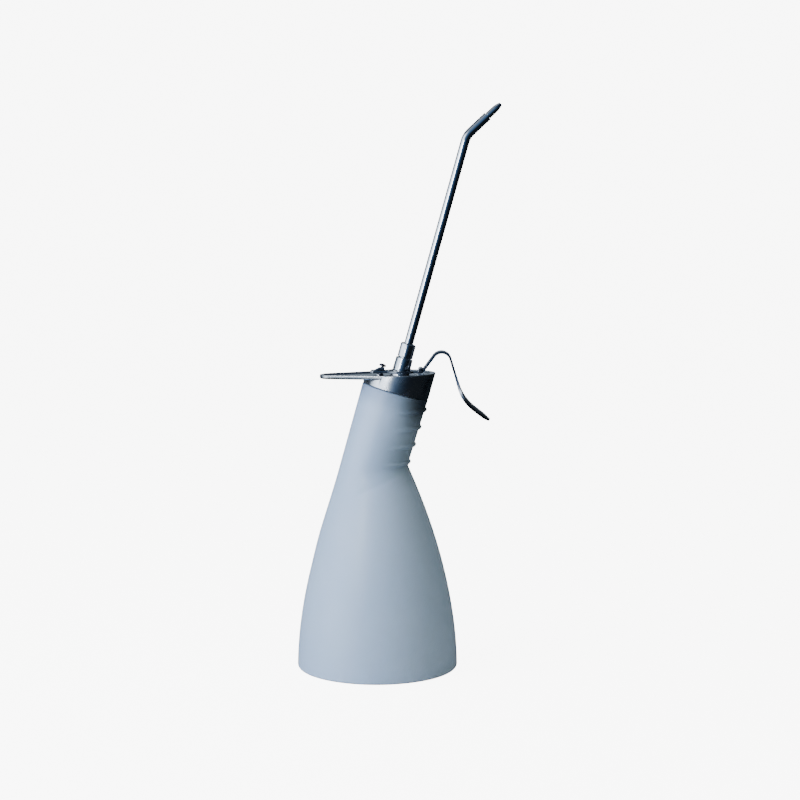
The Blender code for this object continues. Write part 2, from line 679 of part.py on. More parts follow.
def make_nozzle(material, spout):
    """Tapered nozzle with a spigot pressed into the tube's end."""
    across, level, lean = spout_stations()[-1]
    spigot = TUBE_RADIUS - TUBE_WALL - RUNNING_GAP
    shoulder = SEAT_GAP
    profile = [(spigot, -NOZZLE_SPIGOT), (spigot, shoulder), (NOZZLE_ROOT_RADIUS, shoulder),
               (NOZZLE_CHEEK_RADIUS, NOZZLE_LENGTH - NOZZLE_CHEEK_LENGTH),
               (NOZZLE_TIP_RADIUS + EDGE_BREAK, NOZZLE_LENGTH - EDGE_BREAK),
               (NOZZLE_TIP_RADIUS, NOZZLE_LENGTH), (NOZZLE_BORE, NOZZLE_LENGTH),
               (NOZZLE_BORE, -NOZZLE_SPIGOT)]
    nozzle = turned(profile, TUBE_SIDES, bored=True)
    place = Matrix.Translation((across, 0.0, level)) @ Matrix.Rotation(lean, 4, "Y")
    piece("nozzle_tip", moved(nozzle, place), material, spout)


# Trigger lever

def filleted(corners, radii, step):
    """Points along a line through corners, each inner corner rounded to its radius."""
    path = [corners[0]]
    for before, corner, after, radius in zip(corners, corners[1:], corners[2:], radii):
        into = (corner - before).normalized()
        out = (after - corner).normalized()
        turn = into.angle(out)
        tangent = radius * math.tan(turn / 2)
        side = 1.0 if into.cross(out) > 0 else -1.0
        centre = corner - into * tangent + side * radius * Vector((-into.y, into.x))
        for i in range(step + 1):
            swing = Matrix.Rotation(side * turn * i / step, 2)
            path.append(centre + swing @ (corner - into * tangent - centre))
    path.append(corners[-1])
    return path


def resampled(path, count):
    """Evenly spaced points and headings along a path of short straight runs."""
    lengths = [(b - a).length for a, b in zip(path, path[1:])]
    total = sum(lengths)
    samples = []
    for i in range(count + 1):
        rest = min(total * i / count, total * (1 - 1e-6))
        run = 0
        while rest > lengths[run]:
            rest -= lengths[run]
            run += 1
        heading = (path[run + 1] - path[run]).normalized()
        samples.append((path[run] + heading * rest, heading))
    return samples, total


def strip_section(middle, heading, half_width, dish):
    """Section of the strip: a shallow dish that is open towards the finger."""
    out = Vector((-heading.y, heading.x))
    half = SHEET_THICKNESS / 2 - DRAW_THINNING
    upper = []
    lower = []
    for share in STRIP_ACROSS_SHARES:
        base = middle + out * dish * (share * share - 0.5)
        top = base + out * half
        under = base - out * half
        upper.append(Vector((top.x, share * half_width, top.y)))
        lower.append(Vector((under.x, share * half_width, under.y)))
    return upper + lower[::-1]


def strip_rings():
    """Sections from the lever's knuckles over the hump and down to the finger pad."""
    sheet = SHEET_Z - PIVOT_Z
    corners = [Vector((-KNUCKLE_RADIUS, sheet)), Vector((ROOT_REACH, sheet)),
               Vector((HUMP_REACH, HUMP_RISE)), Vector((SWEEP_REACH, -SWEEP_DROP)),
               Vector((PAD_REACH, -PAD_DROP))]
    path = filleted(corners, (ROOT_BEND, HUMP_BEND, SWEEP_BEND), 12)
    samples, total = resampled(path, STRIP_STEPS)
    rings = []
    for i, (middle, heading) in enumerate(samples):
        share = i / STRIP_STEPS
        width = BRIDGE_HALF_WIDTH - DRAW_THINNING
        width += (STRIP_HALF_WIDTH - width) * smooth_step(share, *STRIP_SHARES)
        width += (PAD_HALF_WIDTH - width) * smooth_step(share, *PAD_SHARES)
        into_tip = max(0.0, share * total - (total - PAD_TIP_LENGTH)) / PAD_TIP_LENGTH
        width *= math.sqrt(1.0 - (into_tip * TIP_END_SHARE) ** 2)
        dish = PAD_DISH * smooth_step(share, *PAD_SHARES) * (1 - smooth_step(share, TIP_FADE_SHARE, 1.0))
        rings.append(strip_section(middle, heading, width, dish))
    return rings


def yoke_outline():
    """Plan of the flat yoke about the pivot: tongue, ring round the spout and bridge."""
    ring_x = axis_x(SHEET_Z) - PIVOT_X
    left = rod_x(SHEET_Z) - TONGUE_REACH - PIVOT_X
    tongue = math.pi - math.asin(TONGUE_HALF_WIDTH / YOKE_RADIUS)
    bridge = math.asin(BRIDGE_HALF_WIDTH / YOKE_RADIUS)
    upper = arc((left + TONGUE_CORNER, TONGUE_HALF_WIDTH - TONGUE_CORNER), TONGUE_CORNER,
                math.pi, math.pi / 2, 4)
    upper += arc((ring_x, 0.0), YOKE_RADIUS, tongue, bridge, 12)
    upper.append((0.0, BRIDGE_HALF_WIDTH))
    return upper + [(x, -y) for x, y in reversed(upper)]


def tab_rings():
    """The lanced tab that rises from the tongue to lie under the plunger's cap."""
    rod = rod_x(SHEET_Z) - PIVOT_X
    sheet = SHEET_Z - PIVOT_Z
    root = rod - TAB_ROOT_REACH
    corners = [Vector((root - SHEET_THICKNESS, sheet)), Vector((root, sheet)),
               Vector((root + TAB_RAMP, sheet + TAB_RISE)),
               Vector((CAP_X - PIVOT_X + TAB_TIP_REACH, sheet + TAB_RISE))]
    path = filleted(corners, (SHEET_THICKNESS, SHEET_THICKNESS), 3)
    samples, _ = resampled(path, 16)
    return [strip_section(middle, heading, TAB_HALF_WIDTH, 0.0) for middle, heading in samples]


def notch_outline():
    """Plan of the fork's notch that straddles the plunger rod, open at the tab's tip."""
    half = ROD_RADIUS + 1.5 * SEAT_GAP
    low_x = (rod_x(SHEET_Z) + CAP_X) / 2 - PIVOT_X
    open_x = CAP_X - PIVOT_X + TAB_TIP_REACH + OVERRUN
    return arc((low_x, 0.0), half, math.pi / 2, 1.5 * math.pi, 6) + [(open_x, -half), (open_x, half)]


def block_outline(low_x, high_x, half_y):
    return [(low_x, -half_y), (high_x, -half_y), (high_x, half_y), (low_x, half_y)]


def make_lever(material, trigger):
    sheet = SHEET_Z - PIVOT_Z
    low = sheet - SHEET_THICKNESS / 2
    high = sheet + SHEET_THICKNESS / 2
    lever = piece("trigger_lever", extruded_up(yoke_outline(), low, high), material, trigger)
    shaped(lever, "strip", lofted(strip_rings()), "UNION")
    knuckles = cross_bar(KNUCKLE_RADIUS, LUG_WIDTH / 2 + SEAT_GAP + KNUCKLE_WIDTH, 0.0, 0.0)
    shaped(lever, "knuckles", knuckles, "UNION")
    rod = rod_x(SHEET_Z) - PIVOT_X
    window = block_outline(rod - TAB_ROOT_REACH, rod + TAB_SLOT_REACH, TAB_HALF_WIDTH + TAB_SLOT_MARGIN)
    shaped(lever, "window", extruded_up(window, low - OVERRUN, high + SEAT_GAP))
    shaped(lever, "tab", lofted(tab_rings()), "UNION")
    shaped(lever, "notch", extruded_up(notch_outline(), low, high + TAB_RISE + OVERRUN))
    ring_x = axis_x(SHEET_Z) - PIVOT_X
    ring = turned([(YOKE_BORE, low - OVERRUN), (YOKE_BORE, high + OVERRUN)], 32, (ring_x, 0.0))
    shaped(lever, "spout_hole", ring)
    reach = LUG_RADIUS + 2 * SEAT_GAP
    slot = block_outline(-reach, reach, LUG_WIDTH / 2 + SEAT_GAP)
    shaped(lever, "lug_slot", extruded_up(slot, low - OVERRUN, KNUCKLE_RADIUS + OVERRUN))
    bore = cross_bar(PIN_RADIUS + RUNNING_GAP, BRIDGE_HALF_WIDTH + OVERRUN, 0.0, 0.0)
    shaped(lever, "pin_hole", bore)


def make_pin(material, neck):
    """Headed cross pin, upset at its far end."""
    half = LUG_WIDTH / 2 + SEAT_GAP + KNUCKLE_WIDTH + SEAT_GAP
    profile = [(PIN_HEAD_RADIUS, -half - PIN_HEAD_THICKNESS), (PIN_HEAD_RADIUS, -half),
               (PIN_RADIUS, -half), (PIN_RADIUS, half), (PIN_HEAD_RADIUS, half),
               (PIN_RADIUS, half + PIN_HEAD_THICKNESS)]
    place = Matrix.Translation((PIVOT_X, 0.0, PIVOT_Z)) @ Matrix.Rotation(math.pi / 2, 4, "X")
    pin = moved(turned(profile, SMALL_SIDES), NECK_FRAME.inverted() @ place)
    piece("lever_pin", pin, material, neck)


# Plunger

def make_plunger(metals, plunger):
    """Rod, mushroom cap, piston and its ring, all on the plunger's own axis."""
    rod_low = PISTON_BOTTOM
    rod_top = CAP_FOOT + CAP_SOCKET_DEPTH - RUNNING_GAP
    rod = turned([(ROD_RADIUS, rod_low), (ROD_RADIUS, rod_top)], SMALL_SIDES)
    piece("plunger_rod", rod, metals["steel"], plunger)
    socket = ROD_RADIUS + RUNNING_GAP
    cap_top = CAP_FOOT + CAP_THICKNESS
    cap = [(socket, CAP_FOOT), (CAP_RADIUS, CAP_FOOT), (CAP_RADIUS, CAP_FOOT + CAP_THICKNESS / 3),
           (CAP_RADIUS * 0.8, CAP_FOOT + CAP_THICKNESS * 0.75), (CAP_RADIUS * 0.4, cap_top)]
    cap_solid = turned([(CAP_RADIUS * 0.4, cap_top)] + cap[::-1][1:] + [
        (socket, CAP_FOOT + CAP_SOCKET_DEPTH)], PART_SIDES)
    piece("rod_cap", cap_solid, metals["steel"], plunger)
    radius = BARREL_BORE - RUNNING_GAP
    groove = radius - PISTON_GROOVE
    groove_low = PISTON_BOTTOM + PISTON_LENGTH * PISTON_SEAL_SHARE
    groove_high = PISTON_TOP - PISTON_LENGTH * PISTON_SEAL_SHARE
    bore = ROD_RADIUS + RUNNING_GAP
    piston = [(radius, PISTON_BOTTOM), (radius, groove_low), (groove, groove_low),
              (groove, groove_high), (radius, groove_high), (radius, PISTON_TOP),
              (bore, PISTON_TOP), (bore, PISTON_BOTTOM)]
    piece("piston", turned(piston, bored=True), metals["brass"], plunger)
    ring = tube_profile(radius, groove + RUNNING_GAP, groove_low + RUNNING_GAP, groove_high - RUNNING_GAP)
    piece("piston_seal", turned(ring, bored=True), metals["seal"], plunger)


def helix_points(radius, low, high, turns):
    """Middle line of a wound spring: close first and last coils are left to the ends' seats."""
    count = turns * SPRING_POINTS
    return [Vector((radius * math.cos(2 * math.pi * i / SPRING_POINTS),
                    radius * math.sin(2 * math.pi * i / SPRING_POINTS),
                    low + (high - low) * i / count)) for i in range(count + 1)]


def least_gap(points, wire):
    """Smallest space between one coil's wire and the next, measured on the middle line."""
    gap = min((points[i] - points[j]).length for i in range(len(points))
              for j in range(i + SPRING_POINTS // 2, len(points)))
    return gap - wire


def wound_wire(points, wire):
    """One unbroken tube along a helix whose axis is upright."""
    rings = []
    for i, point in enumerate(points):
        ahead = (points[min(i + 1, len(points) - 1)] - points[max(i - 1, 0)]).normalized()
        out = Vector((point.x, point.y, 0.0)).normalized()
        side = ahead.cross(out).normalized()
        turn = 2 * math.pi / SPRING_SIDES
        rings.append([point + (out * math.cos(k * turn) + side * math.sin(k * turn)) * wire / 2
                      for k in range(SPRING_SIDES)])
    return lofted(rings)


def make_spring(name, radius, wire, low, high, turns, material, parent):
    points = helix_points(radius, low + wire / 2, high - wire / 2, turns)
    print(name, "turns", turns, "least gap between coils in mm:", round(least_gap(points, wire) * 1e3, 2))
    piece(name, wound_wire(points, wire), material, parent)


# Pump body

def make_pump_body(metals, neck):
    """Barrel and valve column, joined by a web, hanging from the head."""
    column = piece("pump_body", turned([(COLUMN_RADIUS, COLUMN_BOTTOM), (COLUMN_RADIUS, COLUMN_TOP)]),
                   metals["cast"], neck)
    web_low = BARREL_BOTTOM + BARREL_WALL
    web = lofted([[Vector((x, y, level)) for x, y in (
        (-ROD_OFFSET, -WEB_WIDTH / 2), (0.0, -WEB_WIDTH / 2), (0.0, WEB_WIDTH / 2),
        (-ROD_OFFSET, WEB_WIDTH / 2))] for level in (web_low, BARREL_TOP - BARREL_WALL)])
    shaped(column, "web", web, "UNION")
    centre = (-ROD_OFFSET, 0.0)
    barrel = turned([(BARREL_RADIUS, BARREL_BOTTOM), (BARREL_RADIUS, BARREL_TOP)], centre=centre)
    shaped(column, "barrel", barrel, "UNION")
    bore = turned([(BARREL_BORE, BARREL_BOTTOM - OVERRUN), (BARREL_BORE, BARREL_INNER_TOP)], centre=centre)
    shaped(column, "barrel_bore", bore)
    seal = GLAND_SHANK_RADIUS + RUNNING_GAP
    hole = ROD_RADIUS + RUNNING_GAP
    seal_floor = BARREL_TOP - SEAL_LENGTH - SEAT_GAP
    gland = [(hole, BARREL_INNER_TOP - OVERRUN), (hole, seal_floor), (seal, seal_floor),
             (seal, BARREL_TOP + OVERRUN)]
    shaped(column, "gland_pocket", turned(gland, centre=centre))
    bore_column(column)


def bore_column(column):
    """Stepped passage through the column, the cage's notch and the port to the barrel."""
    top = SHANK_RADIUS + RUNNING_GAP
    chamber = SHANK_BOTTOM - SEAT_GAP
    upper = [(PASSAGE_RADIUS, CAGE_TOP - OVERRUN), (PASSAGE_RADIUS, OUTLET_SEAT),
             (CAGE_RADIUS, OUTLET_SEAT), (CAGE_RADIUS, chamber), (top, chamber),
             (top, COLUMN_TOP + OVERRUN)]
    shaped(column, "outlet_bore", turned(upper))
    low = SEAT_SPIGOT_RADIUS + RUNNING_GAP
    lower = [(low, COLUMN_BOTTOM - OVERRUN), (low, INLET_SEAT), (CAGE_RADIUS, INLET_SEAT),
             (CAGE_RADIUS, CAGE_TOP)]
    shaped(column, "inlet_bore", turned(lower))
    notch = block_outline(-CAGE_RADIUS, CAGE_RADIUS, CAGE_NOTCH / 2)
    shaped(column, "cage_notch", extruded_up(notch, CAGE_TOP - SEAT_GAP, CAGE_TOP + CAGE_NOTCH))
    port = turned([(PORT_RADIUS, 0.0), (PORT_RADIUS, ROD_OFFSET)], SMALL_SIDES)
    place = Matrix.Translation((-ROD_OFFSET, 0.0, PORT_LEVEL)) @ Matrix.Rotation(math.pi / 2, 4, "Y")
    shaped(column, "port", moved(port, place))


def make_gland(metals, rod_axis):
    """Gland nut and the packing it squeezes round the rod."""
    hole = ROD_RADIUS + RUNNING_GAP
    foot = GLAND_SEAT + RUNNING_GAP
    profile = [(GLAND_SHANK_RADIUS, BARREL_TOP), (GLAND_SHANK_RADIUS, foot),
               (GLAND_HEAD_RADIUS, foot), (GLAND_HEAD_RADIUS, foot + GLAND_HEAD_HEIGHT),
               (hole, foot + GLAND_HEAD_HEIGHT), (hole, BARREL_TOP)]
    piece("gland_nut", turned(profile, SMALL_SIDES, bored=True), metals["brass"], rod_axis)
    top = BARREL_TOP - SEAT_GAP
    seal = tube_profile(GLAND_SHANK_RADIUS, hole, BARREL_TOP - SEAL_LENGTH, top)
    piece("gland_seal", turned(seal, SMALL_SIDES, bored=True), metals["seal"], rod_axis)
    bore = tube_profile(BARREL_BORE - RUNNING_GAP, BARREL_BORE / 2, BARREL_BOTTOM,
                        BARREL_BOTTOM + BARREL_END_THICKNESS)
    piece("barrel_end", turned(bore, bored=True), metals["brass"], rod_axis)


def make_column_washer(material, neck):
    low = COLUMN_TOP + RUNNING_GAP
    washer = tube_profile(COLUMN_RADIUS, SHANK_RADIUS + SEAT_GAP, low, low + COLUMN_WASHER)
    piece("column_washer", turned(washer, bored=True), material, neck)


def make_inlet_seat(material, neck):
    """Screwed inlet seat with a barbed nipple for the dip tube."""
    profile = [(SEAT_SPIGOT_RADIUS, INLET_SEAT - SEAT_GAP), (SEAT_SPIGOT_RADIUS, FLANGE_TOP),
               (COLUMN_RADIUS, FLANGE_TOP), (COLUMN_RADIUS, FLANGE_BOTTOM),
               (NIPPLE_RADIUS, FLANGE_BOTTOM)]
    pitch = NIPPLE_LENGTH / (BARB_COUNT + 1)
    for i in range(1, BARB_COUNT + 1):
        profile.append((NIPPLE_RADIUS + BARB_HEIGHT, FLANGE_BOTTOM - i * pitch))
        profile.append((NIPPLE_RADIUS, FLANGE_BOTTOM - (i + 1) * pitch))
    profile += [(PASSAGE_RADIUS, NIPPLE_END), (PASSAGE_RADIUS, INLET_SEAT - SEAT_GAP)]
    piece("inlet_seat", turned(profile, bored=True), material, neck)


def make_ball(name, perch, material, neck):
    """A valve ball whose origin is its own centre."""
    bm = bmesh.new()
    bmesh.ops.create_uvsphere(bm, u_segments=SMALL_SIDES, v_segments=SMALL_SIDES // 2, radius=BALL_RADIUS)
    ball = piece(name, bm, material, neck)
    ball.location = (0.0, 0.0, perch)


def make_dip_tube(material, neck):
    tube = tube_profile(DIP_RADIUS, DIP_RADIUS - DIP_WALL, DIP_BOTTOM, DIP_TOP)
    piece("dip_tube", turned(tube, TUBE_SIDES, bored=True), material, neck)


def make_strainer(material, neck):
    """Cup strainer pushed over the dip tube, slotted below the tube's end."""
    sleeve = DIP_RADIUS + RUNNING_GAP
    waist = DIP_RADIUS - DIP_WALL
    top = STRAINER_BOTTOM + STRAINER_LENGTH
    stop = DIP_BOTTOM - SEAT_GAP
    cup = [(STRAINER_RADIUS - STRAINER_WALL, STRAINER_BOTTOM),
           (STRAINER_RADIUS, STRAINER_BOTTOM + STRAINER_WALL), (STRAINER_RADIUS, top), (sleeve, top),
           (sleeve, stop), (waist, stop), (waist, STRAINER_BOTTOM + STRAINER_WALL)]
    strainer = piece("intake_strainer", turned(cup, TUBE_SIDES), material, neck)
    low = STRAINER_BOTTOM + 2 * STRAINER_WALL
    high = stop - STRAINER_BRIDGE
    reach = STRAINER_RADIUS + OVERRUN
    for i in range(STRAINER_SLOTS):
        slot = extruded_up(block_outline(-reach, reach, STRAINER_SLOT_WIDTH / 2), low, high)
        turn = Matrix.Rotation(math.pi * i / STRAINER_SLOTS, 4, "Z")
        shaped(strainer, "slot_" + str(i + 1), moved(slot, turn))


def build():
    clear_scene()
    finishes = {
        "bottle": plastic("milky_polyethylene", (0.62, 0.68, 0.74), 0.4),
        "casting": metal("polished_zinc", (0.62, 0.65, 0.69), 0.22),
        "nickel": metal("nickel_plate", (0.66, 0.68, 0.70), 0.2),
        "steel": metal("bright_steel", (0.58, 0.60, 0.63), 0.25),
        "spout": metal("plated_tube", (0.52, 0.55, 0.60), 0.25),
        "brass": metal("brass", (0.72, 0.58, 0.30), 0.3),
        "cast": metal("pump_zinc", (0.50, 0.52, 0.54), 0.45),
        "seal": plastic("black_rubber", (0.03, 0.03, 0.03), 0.7),
        "dip": plastic("natural_tube", (0.75, 0.77, 0.78), 0.35),
    }
    shift = Matrix.Translation((-(NOZZLE_TIP_X - dome_radius(FOOT_FILLET)) / 2, 0.0, 0.0))
    stand = frame_empty("stand", shift)
    neck = frame_empty("neck_axis", NECK_FRAME, stand)
    spout = frame_empty("spout_axis", Matrix.Identity(4), neck)
    rod_axis = frame_empty("gland_axis", Matrix.Translation((-ROD_OFFSET, 0.0, 0.0)), neck)
    plunger = frame_empty("plunger_axis", Matrix.Translation((-ROD_OFFSET, 0.0, 0.0)), neck)
    trigger = frame_empty("trigger_axis", Matrix.Translation((PIVOT_X, 0.0, PIVOT_Z)), stand)
    make_bottle(finishes["bottle"], stand)
    make_gasket(finishes["seal"], neck)
    make_head(finishes["casting"], neck)
    make_socket(finishes["nickel"], neck)
    make_nut(finishes["nickel"], neck)
    make_ferrule(finishes["brass"], spout)
    make_tube(finishes["spout"], spout)
    make_nozzle(finishes["spout"], spout)
    make_lever(finishes["steel"], trigger)
    make_pin(finishes["steel"], neck)
    make_plunger(finishes, plunger)
    make_spring("return_spring", BARREL_BORE - SEAT_GAP - SPRING_WIRE / 2, SPRING_WIRE,
                PISTON_TOP + SEAT_GAP, BARREL_INNER_TOP - SEAT_GAP, SPRING_TURNS,
                finishes["steel"], rod_axis)
    make_pump_body(finishes, neck)
    make_gland(finishes, rod_axis)
    make_column_washer(finishes["seal"], neck)
    make_inlet_seat(finishes["brass"], neck)
    make_ball("outlet_ball", OUTLET_SEAT + BALL_PERCH, finishes["steel"], neck)
    make_ball("inlet_ball", INLET_SEAT - SEAT_GAP + BALL_PERCH, finishes["steel"], neck)
    make_spring("outlet_spring", OUTLET_RADIUS, OUTLET_WIRE,
                OUTLET_SEAT + BALL_PERCH + BALL_RADIUS + SEAT_GAP, SHANK_BOTTOM - SEAT_GAP,
                OUTLET_TURNS, finishes["steel"], neck)
    make_dip_tube(finishes["dip"], neck)
    make_strainer(finishes["brass"], neck)
    shade_pieces()


build()
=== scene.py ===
# %% [markdown]
# Pump oiler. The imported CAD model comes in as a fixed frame: every node sits where the real piece
# sits, at its real size. This notebook dresses it. Each visible piece gets a finer surface on the
# same spot, and each finish is a small node tree, so the oiler can be looked at from close by.

# %% Load the fixed frame
import json
import math

import bmesh
import bpy
import numpy as np
from mathutils import Matrix, Vector

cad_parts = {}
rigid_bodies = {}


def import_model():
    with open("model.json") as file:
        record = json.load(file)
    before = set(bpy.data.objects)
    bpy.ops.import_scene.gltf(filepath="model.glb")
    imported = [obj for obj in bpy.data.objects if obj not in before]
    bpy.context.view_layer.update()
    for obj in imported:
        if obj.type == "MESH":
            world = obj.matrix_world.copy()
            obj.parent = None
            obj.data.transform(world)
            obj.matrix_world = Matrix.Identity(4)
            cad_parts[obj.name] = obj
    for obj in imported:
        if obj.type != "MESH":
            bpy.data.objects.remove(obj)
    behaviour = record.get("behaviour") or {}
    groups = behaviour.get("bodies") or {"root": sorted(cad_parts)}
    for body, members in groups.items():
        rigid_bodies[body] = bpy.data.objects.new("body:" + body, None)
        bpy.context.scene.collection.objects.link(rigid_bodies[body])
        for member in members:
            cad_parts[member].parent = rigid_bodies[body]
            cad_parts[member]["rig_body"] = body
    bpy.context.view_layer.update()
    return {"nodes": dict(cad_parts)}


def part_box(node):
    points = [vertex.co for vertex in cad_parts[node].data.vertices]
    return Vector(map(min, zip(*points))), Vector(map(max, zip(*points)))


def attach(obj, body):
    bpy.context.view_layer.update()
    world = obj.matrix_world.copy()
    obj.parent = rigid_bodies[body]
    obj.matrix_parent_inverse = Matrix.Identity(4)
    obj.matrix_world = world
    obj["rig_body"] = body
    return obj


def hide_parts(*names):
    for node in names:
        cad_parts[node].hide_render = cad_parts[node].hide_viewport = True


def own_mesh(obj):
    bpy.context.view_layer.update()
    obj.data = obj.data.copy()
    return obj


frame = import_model()

# %% [markdown]
# Everything above the bottle's shoulder leans with the neck. The bottle stands off the middle of
# the frame, because the spout and the lever reach out to one side, so its upright axis is found
# from the bottle node's own box. The neck's axis starts at the seam between bottle and head, and a
# matrix carries points from that leaning axis into the frame. Turned pieces are then drawn as if
# they stood upright, which keeps their numbers simple.

# %% The two axes of the oiler
bottle_low, bottle_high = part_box("bottle")
BODY_RADIUS = (bottle_high.y - bottle_low.y) / 2
AXIS_X = bottle_low.x + BODY_RADIUS
NECK_TILT = math.radians(15.5)
SEAM_X = 0.0110
SEAM_Z = 0.1681
NECK_RADIUS = 0.0203
LEAN = Matrix.Rotation(NECK_TILT, 4, "Y")
NECK_FRAME = Matrix.Translation((AXIS_X + SEAM_X, 0.0, SEAM_Z)) @ LEAN
TO_NECK = NECK_FRAME.inverted()
TILT_SIN = math.sin(NECK_TILT)
TILT_COS = math.cos(NECK_TILT)
NECK_UP = NECK_FRAME.to_3x3() @ Vector((0.0, 0.0, 1.0))


def axis_x(height):
    """X of the neck's axis, counted from the bottle's own axis, at a height above the table."""
    return SEAM_X + (height - SEAM_Z) * math.tan(NECK_TILT)


def level_at(across, height):
    """Level along the neck's axis where a horizontal plane passes a distance across from it."""
    return (height - SEAM_Z + across * TILT_SIN) / TILT_COS


def neck_box(node):
    """Lowest and highest corner of a node, measured along the leaning axis."""
    points = np.array([TO_NECK @ v.co for v in frame["nodes"][node].data.vertices])
    return Vector(points.min(0)), Vector(points.max(0))


print("bottle axis at x =", round(AXIS_X, 4), "body radius:", round(BODY_RADIUS, 4))

# %% [markdown]
# A finer piece always does the same four things: it stands in for its CAD node, rides on the body
# that carries the node, takes its material and is shaded smooth but for its real edges. Two
# helpers keep those together. Modifiers are worked into the mesh first, and weighted normals keep
# flat faces flat beside rounded edges.

# %% Helpers that put a finished piece in place
body_of = {name: node["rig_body"] for name, node in frame["nodes"].items()}
SMOOTH_UNDER = math.radians(32)


def new_object(name, data):
    piece = bpy.data.objects.new(name, data)
    bpy.context.scene.collection.objects.link(piece)
    return piece


def with_settings(thing, **settings):
    """Give a modifier, a node or a lamp its options, and hand it on."""
    for key, value in settings.items():
        setattr(thing, key, value)
    return thing


def add_step(piece, name, kind, **settings):
    """Queue a modifier on a piece."""
    return with_settings(piece.modifiers.new(name, kind), **settings)


def worked_in(piece):
    """Bake an object's modifiers into its mesh and drop the tools they used."""
    tools = [m.object for m in piece.modifiers if m.type == "BOOLEAN"]
    bpy.context.view_layer.update()
    graph = bpy.context.evaluated_depsgraph_get()
    mesh = bpy.data.meshes.new_from_object(piece.evaluated_get(graph))
    piece.modifiers.clear()
    piece.data = mesh
    for tool in tools:
        bpy.data.objects.remove(tool)
    return piece


def shaded(piece, angle=SMOOTH_UNDER):
    piece.data.shade_smooth()
    piece.data.set_sharp_from_angle(angle=angle)
    add_step(piece, "flat_faces", "WEIGHTED_NORMAL", keep_sharp=True)
    return worked_in(piece)


def stands_for(piece, node, material):
    """The piece takes over a CAD node's place and body, hides the node and takes the given look."""
    piece.data.materials.clear()
    piece.data.materials.append(material)
    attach(piece, body_of[node])
    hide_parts(node)
    print(node, "->", piece.name, "faces:", len(piece.data.polygons))
    return piece


print("nodes:", len(body_of), "on bodies:", sorted(set(body_of.values())))

# %% [markdown]
# Finishes come before shapes here, so that each piece can take its own as soon as it is made. All
# of them read Object coordinates, which is the frame itself: the grain then runs on from piece to
# piece and never slides. Small helpers add nodes and wire them, so a finish reads as a list. The
# node trees that make shapes further down use the same helpers.

# %% Helpers for node trees
def feed(tree, socket, value):
    """Wire a socket to another one, or set it to a fixed value."""
    if isinstance(value, bpy.types.NodeSocket):
        tree.links.new(value, socket)
    else:
        socket.default_value = value


def fill(tree, node, *wires, **inputs):
    """Feed a node's sockets, in order or by name."""
    for socket, value in zip(node.inputs, wires):
        feed(tree, socket, value)
    for label, value in inputs.items():
        feed(tree, node.inputs[label.replace("_", " ")], value)
    return node


def add_node(tree, kind, settings=None, *wires, **inputs):
    """Add a node; settings are its own options, and the rest feeds its sockets."""
    return fill(tree, with_settings(tree.nodes.new(kind), **(settings or {})), *wires, **inputs)


def math_node(tree, operation, *values):
    return add_node(tree, "ShaderNodeMath", {"operation": operation}, *values).outputs[0]


def vector_node(tree, operation, *values, **inputs):
    return add_node(tree, "ShaderNodeVectorMath", {"operation": operation}, *values, **inputs).outputs[0]


def parts_of(tree, vector):
    """X, Y and Z of a vector, as sockets."""
    return add_node(tree, "ShaderNodeSeparateXYZ", Vector=vector).outputs


def ranged(tree, value, low, high, first=0.0, last=1.0):
    """Map first to last onto low to high, such as a noise onto a roughness."""
    return add_node(tree, "ShaderNodeMapRange", None, value, first, last, low, high).outputs["Result"]


def faded(tree, value, first, last, high=1.0, low=0.0):
    """A soft step, from low at first to high at last."""
    soft = {"interpolation_type": "SMOOTHSTEP"}
    return add_node(tree, "ShaderNodeMapRange", soft, value, first, last, low, high).outputs["Result"]

# %% Helpers for finishes
def new_finish(name, **constants):
    """A Principled finish; constants go straight onto the shader's own sockets."""
    material = bpy.data.materials.new(name)
    material.use_nodes = True
    tree = material.node_tree
    shader = fill(tree, tree.nodes["Principled BSDF"], **constants)
    return material, tree, shader, add_node(tree, "ShaderNodeTexCoord").outputs["Object"]


def noise(tree, place, scale, detail):
    return add_node(tree, "ShaderNodeTexNoise", Vector=place, Scale=scale, Detail=detail).outputs["Fac"]


def between(tree, factor, stops):
    """A colour ramp through (position, colour) stops."""
    ramp = add_node(tree, "ShaderNodeValToRGB", Fac=factor)
    elements = ramp.color_ramp.elements
    for element, (position, colour) in zip(elements, (stops[0], stops[-1])):
        element.position = position
        element.color = (*colour, 1.0)
    for position, colour in stops[1:-1]:
        elements.new(position).color = (*colour, 1.0)
    return ramp.outputs["Color"]


def blended(tree, factor, below, above):
    """Mix of two colours, each a socket or a fixed one; 6, 7 and 2 are the node's colour sockets."""
    mix = add_node(tree, "ShaderNodeMix", {"data_type": "RGBA"}, factor)
    feed(tree, mix.inputs[6], below)
    feed(tree, mix.inputs[7], above)
    return mix.outputs[2]


def bumped(tree, node, height, distance):
    """Bump a shader's surface, or lay one bump under another."""
    bump = add_node(tree, "ShaderNodeBump", Height=height, Distance=distance)
    fill(tree, node, Normal=bump.outputs["Normal"])
    return bump

# %% [markdown]
# The bottle is blow-moulded, milky plastic. Light enters the wall, wanders about and comes out
# soft, which subsurface scattering imitates. The wall is a little uneven, so the colour drifts by
# a few hundredths, and its skin has the fine pebble of a blasted mould. The two mould halves met
# in the plane of the spout and left a faint line, drawn here as a narrow ridge in the bump. Soft
# patches of painted shade darken the neck's colour: below the head, along the left, above the
# crease and on the ribs' side. Each patch is the product of two gradients: one runs up the neck,
# and the other across it.

# %% Milky plastic of the bottle
PARTING_WIDTH = 0.0005
PEBBLE_SHARE = 0.25
NECK_ACROSS = NECK_FRAME.to_3x3() @ Vector((1.0, 0.0, 0.0))
GRIP_SIDE = Vector((-0.415, 0.0, 0.910))


